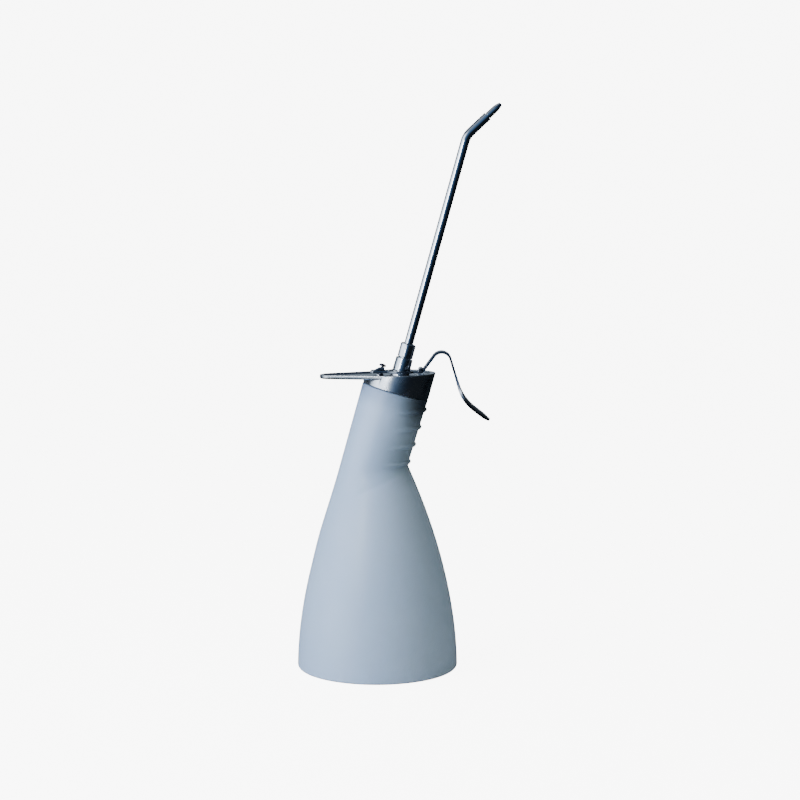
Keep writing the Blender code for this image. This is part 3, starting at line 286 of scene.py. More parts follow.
def along(tree, place, direction):
    """How far a point lies along a direction, counted from the middle of the seam."""
    reach = add_node(tree, "ShaderNodeVectorMath", {"operation": "DOT_PRODUCT"}, place, direction)
    return math_node(tree, "SUBTRACT", reach.outputs["Value"], NECK_FRAME.to_translation().dot(direction))


def painted_neck_shade(tree, place, tone):
    """The plastic's colour with soft patches of painted shade: above the crease, at the left and below the
    head.
    """
    up, across, grip = (along(tree, place, way) for way in (NECK_UP, NECK_ACROSS, GRIP_SIDE))
    # Each row is one patch of painted shade: direction, start, end, depth, left, right and colour.
    for way, start, end, depth, left, right, colour in (
            (grip, -0.0464, -0.0434, 0.20, -0.0095, -0.0020, (0.12, 0.22, 0.40)),  # above the crease
            (up, -0.075, -0.004, 0.13, -0.0125, -0.0195, (0.12, 0.22, 0.42)),  # along the left
            (up, -0.014, -0.0005, 0.42, -0.030, -0.022, (0.06, 0.10, 0.16)),  # a band below the head
            (up, -0.056, -0.036, 0.55, -0.008, 0.026, (0.12, 0.17, 0.15)),  # the ribs' own side
            (up, -0.027, -0.001, 0.92, -0.001, 0.018, (0.004, 0.012, 0.03))):  # below the lever's pin
        shade = math_node(tree, "MULTIPLY", faded(tree, way, start, end, depth),
                          faded(tree, across, left, right))
        tone = blended(tree, shade, tone, (*colour, 1.0))
    return tone


def milky_plastic():
    material, tree, shader, place = new_finish(
        "milky_plastic", Subsurface_Weight=0.35, Subsurface_Scale=0.006, IOR=1.5,
        Subsurface_Radius=(0.8, 0.9, 1.0), Coat_Weight=0.08, Coat_Roughness=0.3)
    drift = noise(tree, place, 22.0, 3.0)
    tone = between(tree, drift, [
        (0.3, (0.40, 0.54, 0.84)), (0.5, (0.42, 0.56, 0.86)), (0.7, (0.44, 0.58, 0.88))])
    off_line = math_node(tree, "ABSOLUTE", parts_of(tree, place)["Y"])
    ridge = faded(tree, off_line, 0.0, PARTING_WIDTH, 0.0, 1.0)
    skin = math_node(tree, "MULTIPLY_ADD", noise(tree, place, 900.0, 2.0), PEBBLE_SHARE, ridge)
    fill(tree, shader, Base_Color=painted_neck_shade(tree, place, tone), Roughness=ranged(tree, drift, 0.34, 0.44))
    bumped(tree, shader, skin, 0.00012)
    return material


milky = milky_plastic()
print("finish:", milky.name)

# %% [markdown]
# The metals differ in how they were worked, not only in colour. A casting that was barrel
# polished has soft cloudy patches of roughness. Turned pieces keep fine rings round their axis.
# Drawn tube and stamped strip have streaks along their length. One recipe makes them all: noise,
# stretched along the working direction, steers roughness and a very shallow bump. The casting and
# the turned pieces have slow waves under that bump, which bend what they mirror, and the small
# steel pieces of the pump are dark with oil.

# %% Metals
CLOUD_SCALE = 30.0
WAVE_SCALE = 240.0
SHADE_SHARE = 0.9
ROUND_GRAIN = (60.0, 60.0, 9000.0)
LONG_GRAIN = (4000.0, 4000.0, 60.0)
SHEET_GRAIN = (200.0, 3000.0, 200.0)
POLISHED_GRAIN = (120.0, 120.0, 120.0)
BLASTED_GRAIN = (900.0, 900.0, 900.0)


def worked_metal(name, colour, rough, grain, tilt=0.0, depth=0.000004, wave=0.0):
    """A metal whose grain is noise squeezed by different amounts along three directions."""
    material, tree, shader, place = new_finish(name, Metallic=1.0)
    laid = add_node(tree, "ShaderNodeMapping", Vector=place, Rotation=(0.0, -tilt, 0.0), Scale=grain)
    streak = noise(tree, laid.outputs["Vector"], 1.0, 4.0)
    cloud = noise(tree, place, CLOUD_SCALE, 2.0)
    darker = tuple(SHADE_SHARE * part for part in colour)
    fill(tree, shader, Base_Color=between(tree, cloud, [(0.35, darker), (0.65, colour)]),
         Roughness=ranged(tree, math_node(tree, "MULTIPLY", streak, cloud), *rough, 0.12, 0.42))
    fine = bumped(tree, shader, streak, depth)
    if wave:
        bumped(tree, fine, noise(tree, place, WAVE_SCALE, 1.0), wave)
    return material


cast_zinc = worked_metal("polished_casting", (0.62, 0.66, 0.72), (0.20, 0.28), POLISHED_GRAIN, wave=0.00005)
nickel = worked_metal("turned_nickel", (0.58, 0.63, 0.70), (0.13, 0.22), ROUND_GRAIN, NECK_TILT, wave=0.00012)
tube_steel = worked_metal("drawn_tube", (0.60, 0.65, 0.72), (0.06, 0.13), LONG_GRAIN, NECK_TILT)
strip_steel = worked_metal("stamped_strip", (0.27, 0.30, 0.35), (0.14, 0.24), SHEET_GRAIN)
dark_steel = worked_metal("oiled_steel", (0.07, 0.08, 0.10), (0.24, 0.36), ROUND_GRAIN, NECK_TILT)
brass = worked_metal("turned_brass", (0.78, 0.58, 0.27), (0.18, 0.34), ROUND_GRAIN, NECK_TILT)
blasted_zinc = worked_metal("blasted_casting", (0.46, 0.48, 0.50), (0.42, 0.6), BLASTED_GRAIN, depth=0.00003)
print("finishes so far:", [m.name for m in bpy.data.materials])

# %% [markdown]
# Two soft materials stay mostly inside: oil-proof rubber for the seals, and the natural plastic of
# the dip tube. They show when the head is lifted out, so they get a finish as well.

# %% Rubber and tube plastic
def soft_finish(name, colour, lighter, rough, **constants):
    material, tree, shader, place = new_finish(name, **constants)
    mottle = noise(tree, place, 400.0, 3.0)
    fill(tree, shader, Base_Color=between(tree, mottle, [(0.3, colour), (0.7, lighter)]),
         Roughness=ranged(tree, mottle, *rough))
    bumped(tree, shader, mottle, 0.00003)
    return material


rubber = soft_finish("seal_rubber", (0.018, 0.018, 0.019), (0.04, 0.04, 0.042), (0.55, 0.75))
clear_tube = soft_finish("natural_tube", (0.72, 0.74, 0.74), (0.80, 0.82, 0.82), (0.22, 0.34),
                         Subsurface_Weight=0.4, Subsurface_Scale=0.003)
print("soft finishes:", rubber.name, clear_tube.name)

# %% [markdown]
# A ring-by-ring skin serves for everything that is turned or lofted: equal rings of points are
# joined by quads, and the ends are closed or run into each other. Corners of a turned profile are
# eased by a tenth of a millimetre or more, because no real edge is perfectly sharp and the eased
# edge is what catches the light.

# %% Skins over equal rings
def plain_mesh(name, points, edges, faces):
    mesh = bpy.data.meshes.new(name)
    mesh.from_pydata(points, edges, faces)
    return mesh


def remeshed(mesh, rework):
    """Let a function work on a mesh's loose parts."""
    bm = bmesh.new()
    bm.from_mesh(mesh)
    rework(bm)
    bm.to_mesh(mesh)
    bm.free()
    return mesh


def skin_mesh(name, rings, looped=False):
    """Quads between equal rings; looped joins the last ring to the first, else ends are capped."""
    rows, count = len(rings), len(rings[0])
    faces = []
    for row in range(rows if looped else rows - 1):
        low, high = row * count, (row + 1) % rows * count
        for i in range(count):
            j = (i + 1) % count
            faces.append((low + i, low + j, high + j, high + i))
    if not looped:
        faces.append(tuple(range(count))[::-1])
        faces.append(tuple(range((rows - 1) * count, rows * count)))
    mesh = plain_mesh(name, [tuple(point) for ring in rings for point in ring], [], faces)
    return remeshed(mesh, lambda bm: bmesh.ops.recalc_face_normals(bm, faces=bm.faces))

# %% Arcs, rings and eased corners
def arc(centre, radius, start, end, steps):
    sweep = (end - start) / steps
    angles = [start + i * sweep for i in range(steps + 1)]
    return [(centre[0] + radius * math.cos(a), centre[1] + radius * math.sin(a)) for a in angles]


def ring(radius, level, sides, centre=(0.0, 0.0)):
    """A level circle of points; the last point of the full turn is left off."""
    return [Vector((x, y, level)) for x, y in arc(centre, radius, 0.0, 2 * math.pi, sides)[:-1]]


def eased(profile, ease, steps=3, closed=True):
    """Round each corner of a profile: ease is one radius, or a list with one per corner.

    Each corner becomes a quadratic Bezier curve that is pulled towards it.
    """
    count = len(profile)
    radii = ease if isinstance(ease, (list, tuple)) else [ease] * count
    out = []
    for i, (point, radius) in enumerate(zip(profile, radii)):
        here = Vector(point)
        if radius == 0 or (not closed and i in (0, count - 1)):
            out.append(tuple(here))
            continue
        back = Vector(profile[i - 1]) - here
        ahead = Vector(profile[(i + 1) % count]) - here
        reach = min(radius, 0.45 * back.length, 0.45 * ahead.length)
        start, end = here + back.normalized() * reach, here + ahead.normalized() * reach
        for k in range(steps + 1):
            t = k / steps
            out.append(tuple(start * (1 - t) ** 2 + here * 2 * t * (1 - t) + end * t * t))
    return out

# %% Turned pieces and exact cuts
def turned_mesh(name, profile, sides=96, centre=(0.0, 0.0), looped=False):
    return skin_mesh(name, [ring(radius, level, sides, centre) for radius, level in profile], looped)


def turned_piece(node, name, material, profile, sides=96, centre=(0.0, 0.0), looped=True, place=NECK_FRAME):
    """Turn (radius, level) points about an axis that leans with the neck, for a CAD node."""
    mesh = turned_mesh(name, profile, sides, centre, looped)
    mesh.transform(place)
    return stands_for(shaded(new_object(name, mesh)), node, material)


def cut(target, mesh, operation="DIFFERENCE"):
    """Queue an exact cut or join on a piece."""
    tool = new_object(target.name + "_tool", mesh)
    add_step(target, "step", "BOOLEAN", object=tool, operation=operation, solver="EXACT")


print("helpers ready")

# %% [markdown]
# The bottle follows a rule, so its skin is computed. Below, each level is a circle that narrows
# upwards like a bell; above, it is the leaning neck's oval. At every level both outlines are
# measured from one point inside them, along the same directions, and the larger one wins. A smooth
# maximum rounds the crease where they meet, as the mould does: crisp above the grip, and fading
# out towards the back, where the two surfaces run tangent to each other.

# %% The bottle's outline at any level
DOME_HEIGHT = 0.1597
DOME_POWER = 1.84
NECK_DRAFT_SHARE = 0.0145
CREASE_ROUND = 0.0036
CREASE_CRISP = 0.0013
CREASE_POWER = 0.8
CREASE_FULL = 0.085
FOOT_FILLET = 0.0018
CENTRE_LOW = 0.040
CENTRE_HIGH = 0.120
NECK_START = 0.060
WALL = 0.0014
BOTTLE_SIDES = 144
FULL_RADIUS = BODY_RADIUS / (1 - (FOOT_FILLET / DOME_HEIGHT) ** DOME_POWER)
directions = np.arange(BOTTLE_SIDES) * 2 * math.pi / BOTTLE_SIDES
crease = CREASE_ROUND + (CREASE_CRISP - CREASE_ROUND) * (0.5 + 0.5 * np.cos(directions)) ** CREASE_POWER


def smooth_share(value, low, high):
    share = min(1.0, max(0.0, (value - low) / (high - low)))
    return share * share * (3 - 2 * share)


def dome_radius(height):
    return FULL_RADIUS * max(0.0, 1 - (height / DOME_HEIGHT) ** DOME_POWER)


def ray_to_oval(start_x, centre_x, half_x, half_y):
    """Distance from a point on the middle plane to an oval, in every direction at once.

    It is the larger root of a * r * r + 2 * b * r + d = 0.
    """
    c, s = np.cos(directions), np.sin(directions)
    a = (c / half_x) ** 2 + (s / half_y) ** 2
    b = (start_x - centre_x) * c / half_x ** 2
    d = ((start_x - centre_x) / half_x) ** 2 - 1
    return (-b + np.sqrt(np.maximum(b * b - a * d, 0.0))) / a


print("radius of the bell at the table:", round(FULL_RADIUS * 1000, 2), "mm")

# %% One level of the bottle's wall
def bottle_ring(height, inset=0.0, ribbed=True):
    """One level of the bottle's wall, as points in the frame."""
    narrowing = max(0.0, SEAM_Z - height) * NECK_DRAFT_SHARE
    neck_x = axis_x(height) - narrowing
    centre = neck_x * smooth_share(height, CENTRE_LOW, CENTRE_HIGH)
    reach = np.zeros(BOTTLE_SIDES)
    round_body = max(dome_radius(height) - inset, 0.0)
    if round_body > abs(centre):
        reach = ray_to_oval(centre, 0.0, round_body, round_body)
    if height > NECK_START:
        half_x = NECK_RADIUS / TILT_COS - narrowing - inset
        half_y = NECK_RADIUS - narrowing - inset
        neck = ray_to_oval(centre, neck_x, half_x, half_y)
        near = np.maximum(crease - np.abs(reach - neck), 0.0) / crease
        rounding = near * near * crease / 4 * smooth_share(height, NECK_START, CREASE_FULL)
        reach = np.maximum(reach, neck) + rounding
    if ribbed:
        reach = reach + rib_swell(height) * rib_facing
    return [Vector((AXIS_X + centre + r * math.cos(d), r * math.sin(d), height))
            for r, d in zip(reach, directions)]

# %% [markdown]
# Four grip ribs run level round the side that the fingers close on. Each is a half-round bead
# that starts from nothing at the neck's flank, so its height is multiplied by how far the wall
# faces the trigger.

# %% Grip ribs on the neck
RIB_COUNT = 4
RIB_TOP_DROP = 0.0113
RIB_PITCH = 0.0105
RIB_HEIGHT = 0.0013
RIB_WIDTH = 0.0038
RIB_FULLNESS = 0.8
RIB_FADE_POWER = 1.5
rib_levels = [SEAM_Z - RIB_TOP_DROP - i * RIB_PITCH for i in range(RIB_COUNT)]
rib_facing = np.clip(np.cos(directions), 0.0, 1.0)
rib_facing = (rib_facing * rib_facing * (3 - 2 * rib_facing)) ** RIB_FADE_POWER


def rib_swell(height):
    away = min(abs(height - level) for level in rib_levels) / (RIB_WIDTH / 2)
    return RIB_HEIGHT * (0.5 + 0.5 * math.cos(math.pi * away)) ** RIB_FULLNESS if away < 1.0 else 0.0


print("ribs at", [round(level * 1000, 1) for level in rib_levels], "mm")

# %% [markdown]
# The wall is closed by going round it once: from the middle of the base out over the foot ring,
# up the outside, over the mouth and down the inside again. Levels are dense where the ribs and the
# crease are and wide apart on the plain body. The mouth is square to the leaning axis, so the last
# level ring is drawn across to a tilted one.

# %% The bottle as one closed shell
FOOT_WIDTH = 0.006
PUSH_UP_DEPTH = 0.0016
FINISH_RADIUS = NECK_RADIUS - 0.0021
FINISH_BORE = FINISH_RADIUS - 0.0017
FINISH_HEIGHT = 0.0028
TOP_LEVEL = rib_levels[0] + RIB_WIDTH / 2


def mouth_ring(radius, level):
    return [NECK_FRAME @ point for point in ring(radius, level, BOTTLE_SIDES)]


def base_rings(inset):
    """Rings of the base from its middle out to the end of the foot's rounding."""
    foot = dome_radius(FOOT_FILLET) - FOOT_FILLET
    inner = foot - FOOT_WIDTH
    profile = [(0.0004, PUSH_UP_DEPTH), (inner * 0.5, PUSH_UP_DEPTH), (inner - 0.008, PUSH_UP_DEPTH),
               (inner - 0.006, PUSH_UP_DEPTH * 0.97), (inner - 0.003, PUSH_UP_DEPTH * 0.5),
               (inner - 0.001, PUSH_UP_DEPTH * 0.08), (inner, 0.0), (inner + 0.002, 0.0), (foot - 0.001, 0.0)]
    rounding = arc((foot, FOOT_FILLET), FOOT_FILLET - inset, -math.pi / 2, 0.0, 10)
    points = [(r, z + inset) for r, z in profile] + rounding
    return [ring(r, z, BOTTLE_SIDES, (AXIS_X, 0.0)) for r, z in points]


def drawn_across(level_ring, tilted_ring, steps):
    return [[a.lerp(b, k / steps) for a, b in zip(level_ring, tilted_ring)] for k in range(1, steps)]


outer_levels = [*np.arange(0.0035, 0.104, 0.0025), *np.arange(0.104, rib_levels[-1] - RIB_WIDTH, 0.0012),
                *np.arange(rib_levels[-1] - RIB_WIDTH, TOP_LEVEL, 0.0004), TOP_LEVEL]
inner_levels = np.arange(0.0065, 0.150, 0.004)
outside = base_rings(0.0) + [bottle_ring(z) for z in outer_levels]
outside += drawn_across(bottle_ring(TOP_LEVEL), mouth_ring(NECK_RADIUS, 0.0), 6)
lip = [(NECK_RADIUS, -0.0003), (NECK_RADIUS - 0.0003, 0.0), (FINISH_RADIUS, 0.0),
       (FINISH_RADIUS, FINISH_HEIGHT - 0.0002), (FINISH_RADIUS - 0.0002, FINISH_HEIGHT),
       (FINISH_BORE + 0.0002, FINISH_HEIGHT), (FINISH_BORE, FINISH_HEIGHT - 0.0002),
       (FINISH_BORE, -0.002), (NECK_RADIUS - WALL, -0.005)]
mouth = [mouth_ring(radius, level) for radius, level in lip]
inside = [bottle_ring(z, WALL, False) for z in inner_levels[::-1]] + base_rings(WALL)[::-1]
shell = new_object("bottle_shell", skin_mesh("bottle_shell", outside + mouth + inside))
stands_for(shaded(shell), "bottle", milky)

# %% [markdown]
# The head is a zinc casting: a slice of tube that carries the deck, and a wing that runs out level
# for the thumb. The slice stands on the leaning seam and is cut off level on top, so each of its
# upright lines has its own length. Rounded edges are drawn into each loft before the solids are
# joined, because joining first and rounding later tears where many edges meet.

# %% Levels of the head
HEAD_SIDES = 128
SHORT_SIDE = 0.0056
HEAD_TOP_Z = SEAM_Z + SHORT_SIDE * TILT_COS + NECK_RADIUS * TILT_SIN
RECESS_Z = HEAD_TOP_Z - 0.0009
CEILING_Z = HEAD_TOP_Z - 0.0024
DECK_X = AXIS_X + axis_x(HEAD_TOP_Z)
SEAT_GAP = 0.0003
WING_REACH = 0.0484
WING_TIP_RADIUS = 0.0082
DECK_SET_BACK = 0.0003
RIM_WIDTH = 0.0022
DECK_SLOPE = math.tan(math.radians(1.0))
DECK_SHEAR = Matrix(((1, 0, 0, 0), (0, 1, 0, 0), (DECK_SLOPE, 0, 1, -DECK_SLOPE * DECK_X), (0, 0, 0, 1)))


def deck_level(across, height):
    """Level along the neck's axis where a plane with the deck's slope passes a distance across."""
    rise = height - SEAM_Z + across * TILT_SIN + DECK_SLOPE * (AXIS_X + SEAM_X + across * TILT_COS - DECK_X)
    return rise / (TILT_COS - DECK_SLOPE * TILT_SIN)


def cut_off_ring(radius, height):
    """The round wall where a plane along the deck cuts it, on the leaning axis."""
    return [Vector((p.x, p.y, deck_level(p.x, height))) for p in ring(radius, 0.0, HEAD_SIDES)]

# %% Wing and rounded edges
def wing_outline(inset, height):
    """Plan of deck and thumb rest: a large and a small round with a band drawn tight round both."""
    large = NECK_RADIUS - DECK_SET_BACK
    tip_x = DECK_X - WING_REACH + WING_TIP_RADIUS
    lean = math.asin((large - WING_TIP_RADIUS) / (DECK_X - tip_x))
    turn = math.pi / 2 + lean
    head = arc((DECK_X, 0.0), large - inset, -turn, turn, 96)
    tip = arc((tip_x, 0.0), WING_TIP_RADIUS - inset, turn, 2 * math.pi - turn, 40)
    return [Vector((x, y, height)) for x, y in head + tip]


def wing_loft(name, steps):
    mesh = skin_mesh(name, [wing_outline(inset, height) for inset, height in steps])
    mesh.transform(TO_NECK @ DECK_SHEAR)
    return mesh


def lower_edge(height, radius, steps=5):
    """Stations of a loft's rounded lower edge, as insets and heights."""
    return arc((radius, height + radius), radius, 1.5 * math.pi, math.pi, steps)


def upper_edge(height, radius):
    return arc((radius, height - radius), radius, math.pi, math.pi / 2, 5)

# %% Wall, wing and recessed deck
wall = [ring(NECK_RADIUS - inset, z, HEAD_SIDES) for inset, z in lower_edge(SEAT_GAP, 0.0006)]
wall += [cut_off_ring(NECK_RADIUS - inset, z) for inset, z in upper_edge(HEAD_TOP_Z, 0.0005)]
head = new_object("head_casting", skin_mesh("head_casting", wall))
cut(head, wing_loft("wing", lower_edge(CEILING_Z, 0.0010, 7) + upper_edge(HEAD_TOP_Z, 0.0004)), "UNION")
recess_steps = [(RIM_WIDTH + 0.0004, RECESS_Z), (RIM_WIDTH + 0.00012, RECESS_Z + 0.00008),
                (RIM_WIDTH, RECESS_Z + 0.0003), (RIM_WIDTH - 0.00008, HEAD_TOP_Z - 0.0001),
                (RIM_WIDTH - 0.0003, HEAD_TOP_Z + 0.00002), (RIM_WIDTH - 0.0004, HEAD_TOP_Z + 0.002)]
cut(head, wing_loft("recess", recess_steps))
print("deck at", round(HEAD_TOP_Z * 1000, 1), "mm, wing tip", round((DECK_X - WING_REACH) * 1000, 1), "mm")

# %% [markdown]
# The underside of the casting is hollow: a pocket for the pump, and a wider skirt below it that
# goes over the bottle's mouth. On top stand a pedestal that takes the spout's socket, a small boss
# for the plunger's gland, and the lug that the lever turns on.

# %% Sizes on and under the deck
POCKET_RADIUS = FINISH_BORE - 0.0004
PIVOT_X = DECK_X + NECK_RADIUS - 0.00824
PIVOT_Z = RECESS_Z + 0.00265
ROD_OFFSET = POCKET_RADIUS - 0.0046
ROD_PLACE = (-ROD_OFFSET, 0.0)
PEDESTAL_RADIUS = 0.0058
PEDESTAL_LEVEL = deck_level(PEDESTAL_RADIUS, RECESS_Z) + 0.0002
PEDESTAL_FOOT = deck_level(-PEDESTAL_RADIUS, CEILING_Z) - 0.0002
ROD_BOSS_RADIUS = 0.0026
ROD_BOSS_FOOT = deck_level(-ROD_OFFSET - 0.0040, CEILING_Z)
GLAND_SEAT = deck_level(-ROD_OFFSET, RECESS_Z) - 0.0001
GLAND_BORE = 0.0018
SPOT_FACE_RADIUS = 0.0023
SOCKET_BORE = 0.0034
PIN_BORE = 0.0012
LUG_RADIUS = 0.0017
LUG_WIDTH = 0.0044
LUG_ROOT = 0.0006
THROUGH = 0.002
print("lever's pin at", round(PIVOT_X * 1000, 1), "mm, plunger", round(ROD_OFFSET * 1000, 1), "mm off axis")

# %% Lug, drums and the pin's hole
def lug_mesh():
    foot = RECESS_Z - LUG_ROOT
    side = arc((PIVOT_X, PIVOT_Z), LUG_RADIUS, 0.0, math.pi, 24)
    side += [(PIVOT_X - LUG_RADIUS, foot), (PIVOT_X + LUG_RADIUS, foot)]
    rings = [[Vector((PIVOT_X + (x - PIVOT_X) * swell, share * LUG_WIDTH / 2,
                      PIVOT_Z + (z - PIVOT_Z) * swell)) for x, z in side]
             for share, swell in ((-1.0, 0.88), (-0.94, 1.0), (0.94, 1.0), (1.0, 0.88))]
    mesh = skin_mesh("lug", rings)
    mesh.transform(TO_NECK)
    return mesh


def pin_hole():
    """A bar through the lug at the lever's pin, in the leaning frame's own coordinates."""
    circle = arc((PIVOT_X, PIVOT_Z), PIN_BORE, 0.0, 2 * math.pi, 48)[:-1]
    mesh = skin_mesh("pin_hole", [[Vector((x, y, z)) for x, z in circle] for y in (-LUG_WIDTH, LUG_WIDTH)])
    mesh.transform(TO_NECK)
    return mesh


def drum(name, radius, low, high, sides=96, centre=(0.0, 0.0)):
    """A plain cutter or boss; cutters reach past the casting by the length called THROUGH."""
    return turned_mesh(name, [(radius, low), (radius, high)], sides, centre)

# %% Hollow, bosses and holes of the head
fillet = [(PEDESTAL_RADIUS, PEDESTAL_FOOT), (PEDESTAL_RADIUS, PEDESTAL_LEVEL - 0.0003),
          (PEDESTAL_RADIUS - 0.0001, PEDESTAL_LEVEL - 0.0001), (PEDESTAL_RADIUS - 0.0003, PEDESTAL_LEVEL)]
cut(head, skin_mesh("pocket", [ring(POCKET_RADIUS, -THROUGH, HEAD_SIDES),
                               cut_off_ring(POCKET_RADIUS, CEILING_Z)]))
cut(head, drum("skirt", FINISH_RADIUS + SEAT_GAP, -THROUGH, 0.0040, HEAD_SIDES))
cut(head, turned_mesh("pedestal", fillet), "UNION")
cut(head, drum("rod_boss", ROD_BOSS_RADIUS, ROD_BOSS_FOOT, GLAND_SEAT, 64, ROD_PLACE), "UNION")
cut(head, lug_mesh(), "UNION")
cut(head, drum("socket_hole", SOCKET_BORE, PEDESTAL_FOOT - THROUGH, PEDESTAL_LEVEL + THROUGH))
cut(head, drum("spot_face", SPOT_FACE_RADIUS, GLAND_SEAT, GLAND_SEAT + 2 * THROUGH, 64, ROD_PLACE))
cut(head, drum("gland_hole", GLAND_BORE, 0.0020, GLAND_SEAT + 2 * THROUGH, 64, ROD_PLACE))
cut(head, pin_hole())
head = worked_in(head)
head.data.transform(NECK_FRAME)
stands_for(shaded(head), "pump_head", cast_zinc)

# %% [markdown]
# Socket, gland nut, cap, rod and pin are bar turnings. Each is one profile, turned about the
# leaning axis or beside it, with corners that are eased or drawn as small steps. The lever's pin is
# the odd one out: it lies across the oiler, so its turned mesh is laid over to go into its hole.

# %% Spout socket
SPIGOT_RADIUS = 0.0034
SPIGOT_BORE = 0.0029
OIL_BORE = 0.0014
TUBE_DEPTH = 0.008
socket_low, socket_high = neck_box("spout_socket")
SOCKET_FOOT = PEDESTAL_LEVEL + SEAT_GAP
SOCKET_TOP = SOCKET_FOOT + 0.0080
SPIGOT_TOP = socket_high.z
socket_profile = [(0.0032, socket_low.z), (0.0032, SOCKET_FOOT), (0.0053, SOCKET_FOOT), (0.0051, SOCKET_TOP),
                  (SPIGOT_RADIUS, SOCKET_TOP), (SPIGOT_RADIUS, SPIGOT_TOP), (SPIGOT_BORE, SPIGOT_TOP),
                  (SPIGOT_BORE, SPIGOT_TOP - TUBE_DEPTH), (OIL_BORE, SPIGOT_TOP - TUBE_DEPTH),
                  (OIL_BORE, socket_low.z)]
socket_ease = [0.0002, 0.0, 0.0003, 0.0005, 0.0, 0.0002, 0.0001, 0.0001, 0.0, 0.0002]
turned_piece("spout_socket", "socket_turning", nickel, eased(socket_profile, socket_ease, 4))

# %% Gland nut
gland_low, gland_high = neck_box("gland_nut")
GLAND_FOOT = GLAND_SEAT + 0.0002
GLAND_RADIUS = 0.0018
GLAND_THREAD = 0.0016
ROD_CLEARANCE = 0.0010
gland_profile = [(GLAND_THREAD, gland_low.z), (GLAND_THREAD, GLAND_FOOT), (GLAND_RADIUS, GLAND_FOOT),
                 (GLAND_RADIUS, gland_high.z), (ROD_CLEARANCE, gland_high.z), (ROD_CLEARANCE, gland_low.z)]
turned_piece("gland_nut", "gland_turning", dark_steel,
             eased(gland_profile, [0, 0, 0.0001, 0.0003, 0.0001, 0], 3), 48, ROD_PLACE)

# %% Plunger rod and its cap
cap_low, cap_high = neck_box("rod_cap")
CAP_RADIUS = (cap_high.y - cap_low.y) / 2
CAP_MID = cap_low.z + (cap_high.z - cap_low.z) / 3
cap_profile = [(0.0002, cap_low.z + 0.0009), (0.0010, cap_low.z + 0.0009), (0.0010, cap_low.z),
               (CAP_RADIUS, cap_low.z), (CAP_RADIUS, CAP_MID)]
cap_profile += [(CAP_RADIUS * math.cos(a), CAP_MID + (cap_high.z - CAP_MID) * math.sin(a))
                for a in np.linspace(0.15, math.pi / 2 - 0.04, 12)]
turned_piece("rod_cap", "cap_turning", dark_steel, cap_profile, 64, ROD_PLACE, looped=False)

rod_low, rod_high = neck_box("plunger_rod")
ROD_RADIUS = 0.0008
ROD_EASE = 0.0002
rod_profile = [(ROD_RADIUS - ROD_EASE, rod_low.z), (ROD_RADIUS, rod_low.z + ROD_EASE),
               (ROD_RADIUS, rod_high.z - ROD_EASE), (ROD_RADIUS - ROD_EASE, rod_high.z)]
turned_piece("plunger_rod", "rod_turning", dark_steel, rod_profile, 32, ROD_PLACE, looped=False)

# %% The lever's cross pin
PIN_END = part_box("lever_pin")[1].y
pin_profile = [(0.0003, -PIN_END), (0.0011, -PIN_END + 0.0001), (0.0014, -PIN_END + 0.0004),
               (0.0014, -PIN_END + 0.0007), (0.0010, -PIN_END + 0.0007), (0.0010, PIN_END - 0.0007),
               (0.0014, PIN_END - 0.0007), (0.0013, PIN_END - 0.0003), (0.0010, PIN_END - 0.00005),
               (0.0003, PIN_END)]
laid_over = Matrix.Translation((PIVOT_X, 0.0, PIVOT_Z)) @ Matrix.Rotation(-math.pi / 2, 4, "X")
turned_piece("lever_pin", "pin_turning", dark_steel, pin_profile, 48, looped=False, place=laid_over)

# %% [markdown]
# The union nut starts as a hexagon bar whose long edges are well rounded, as on a worn nut. The
# turner's chamfer is a cone that only touches the corners, so the nut is the part that the bar and
# a chamfered drum have in common, which draws the curved facets for free.

# %% Union nut
NUT_FLATS = 0.0092
NUT_CORNER = NUT_FLATS / math.sqrt(3)
NUT_BORE = 0.0037
NUT_MOUTH = 0.0030
nut_foot, nut_top = (corner.z for corner in neck_box("union_nut"))
hexagon = arc((0.0, 0.0), NUT_CORNER, math.pi / 6, math.pi / 6 + 2 * math.pi, 6)[:-1]
soft_hexagon = eased(hexagon, 0.0021, 8)
bar = [[Vector((x, y, z)) for x, y in soft_hexagon] for z in (nut_foot, nut_top)]
nut = new_object("nut_turning", skin_mesh("nut_turning", bar))
chamfered = [(NUT_CORNER - 0.0015, nut_foot - 0.0003), (NUT_CORNER + 0.0002, nut_foot + 0.0013),
             (NUT_CORNER + 0.0002, nut_top - 0.0016), (NUT_CORNER - 0.0003, nut_top - 0.0010),
             (NUT_CORNER - 0.0010, nut_top - 0.0003), (NUT_CORNER - 0.0018, nut_top + 0.0002)]
cut(nut, turned_mesh("chamfered", chamfered), "INTERSECT")
bore = [(NUT_BORE, nut_foot - THROUGH), (NUT_BORE, nut_top - 0.0014), (NUT_MOUTH, nut_top - 0.0014),
        (NUT_MOUTH, nut_top - 0.0002), (NUT_MOUTH + 0.0003, nut_top + 0.001)]
cut(nut, turned_mesh("bore", bore))
nut = worked_in(nut)
nut.data.transform(NECK_FRAME)
stands_for(shaded(nut, math.radians(24)), "union_nut", nickel)

# %% [markdown]
# The spout is a drawn tube that follows a path: straight up the leaning axis, one easy bend, and a
# short straight run. That is a job for Geometry Nodes. The path is a poly line through three
# corners, a fillet node bends it, and Curve to Mesh draws a ring along it. A Solidify modifier
# gives the wall its thickness, so the tube is hollow as the real one is. The springs and the
# lever's strip are made by trees too, so the first and last steps of a tree come first, once.

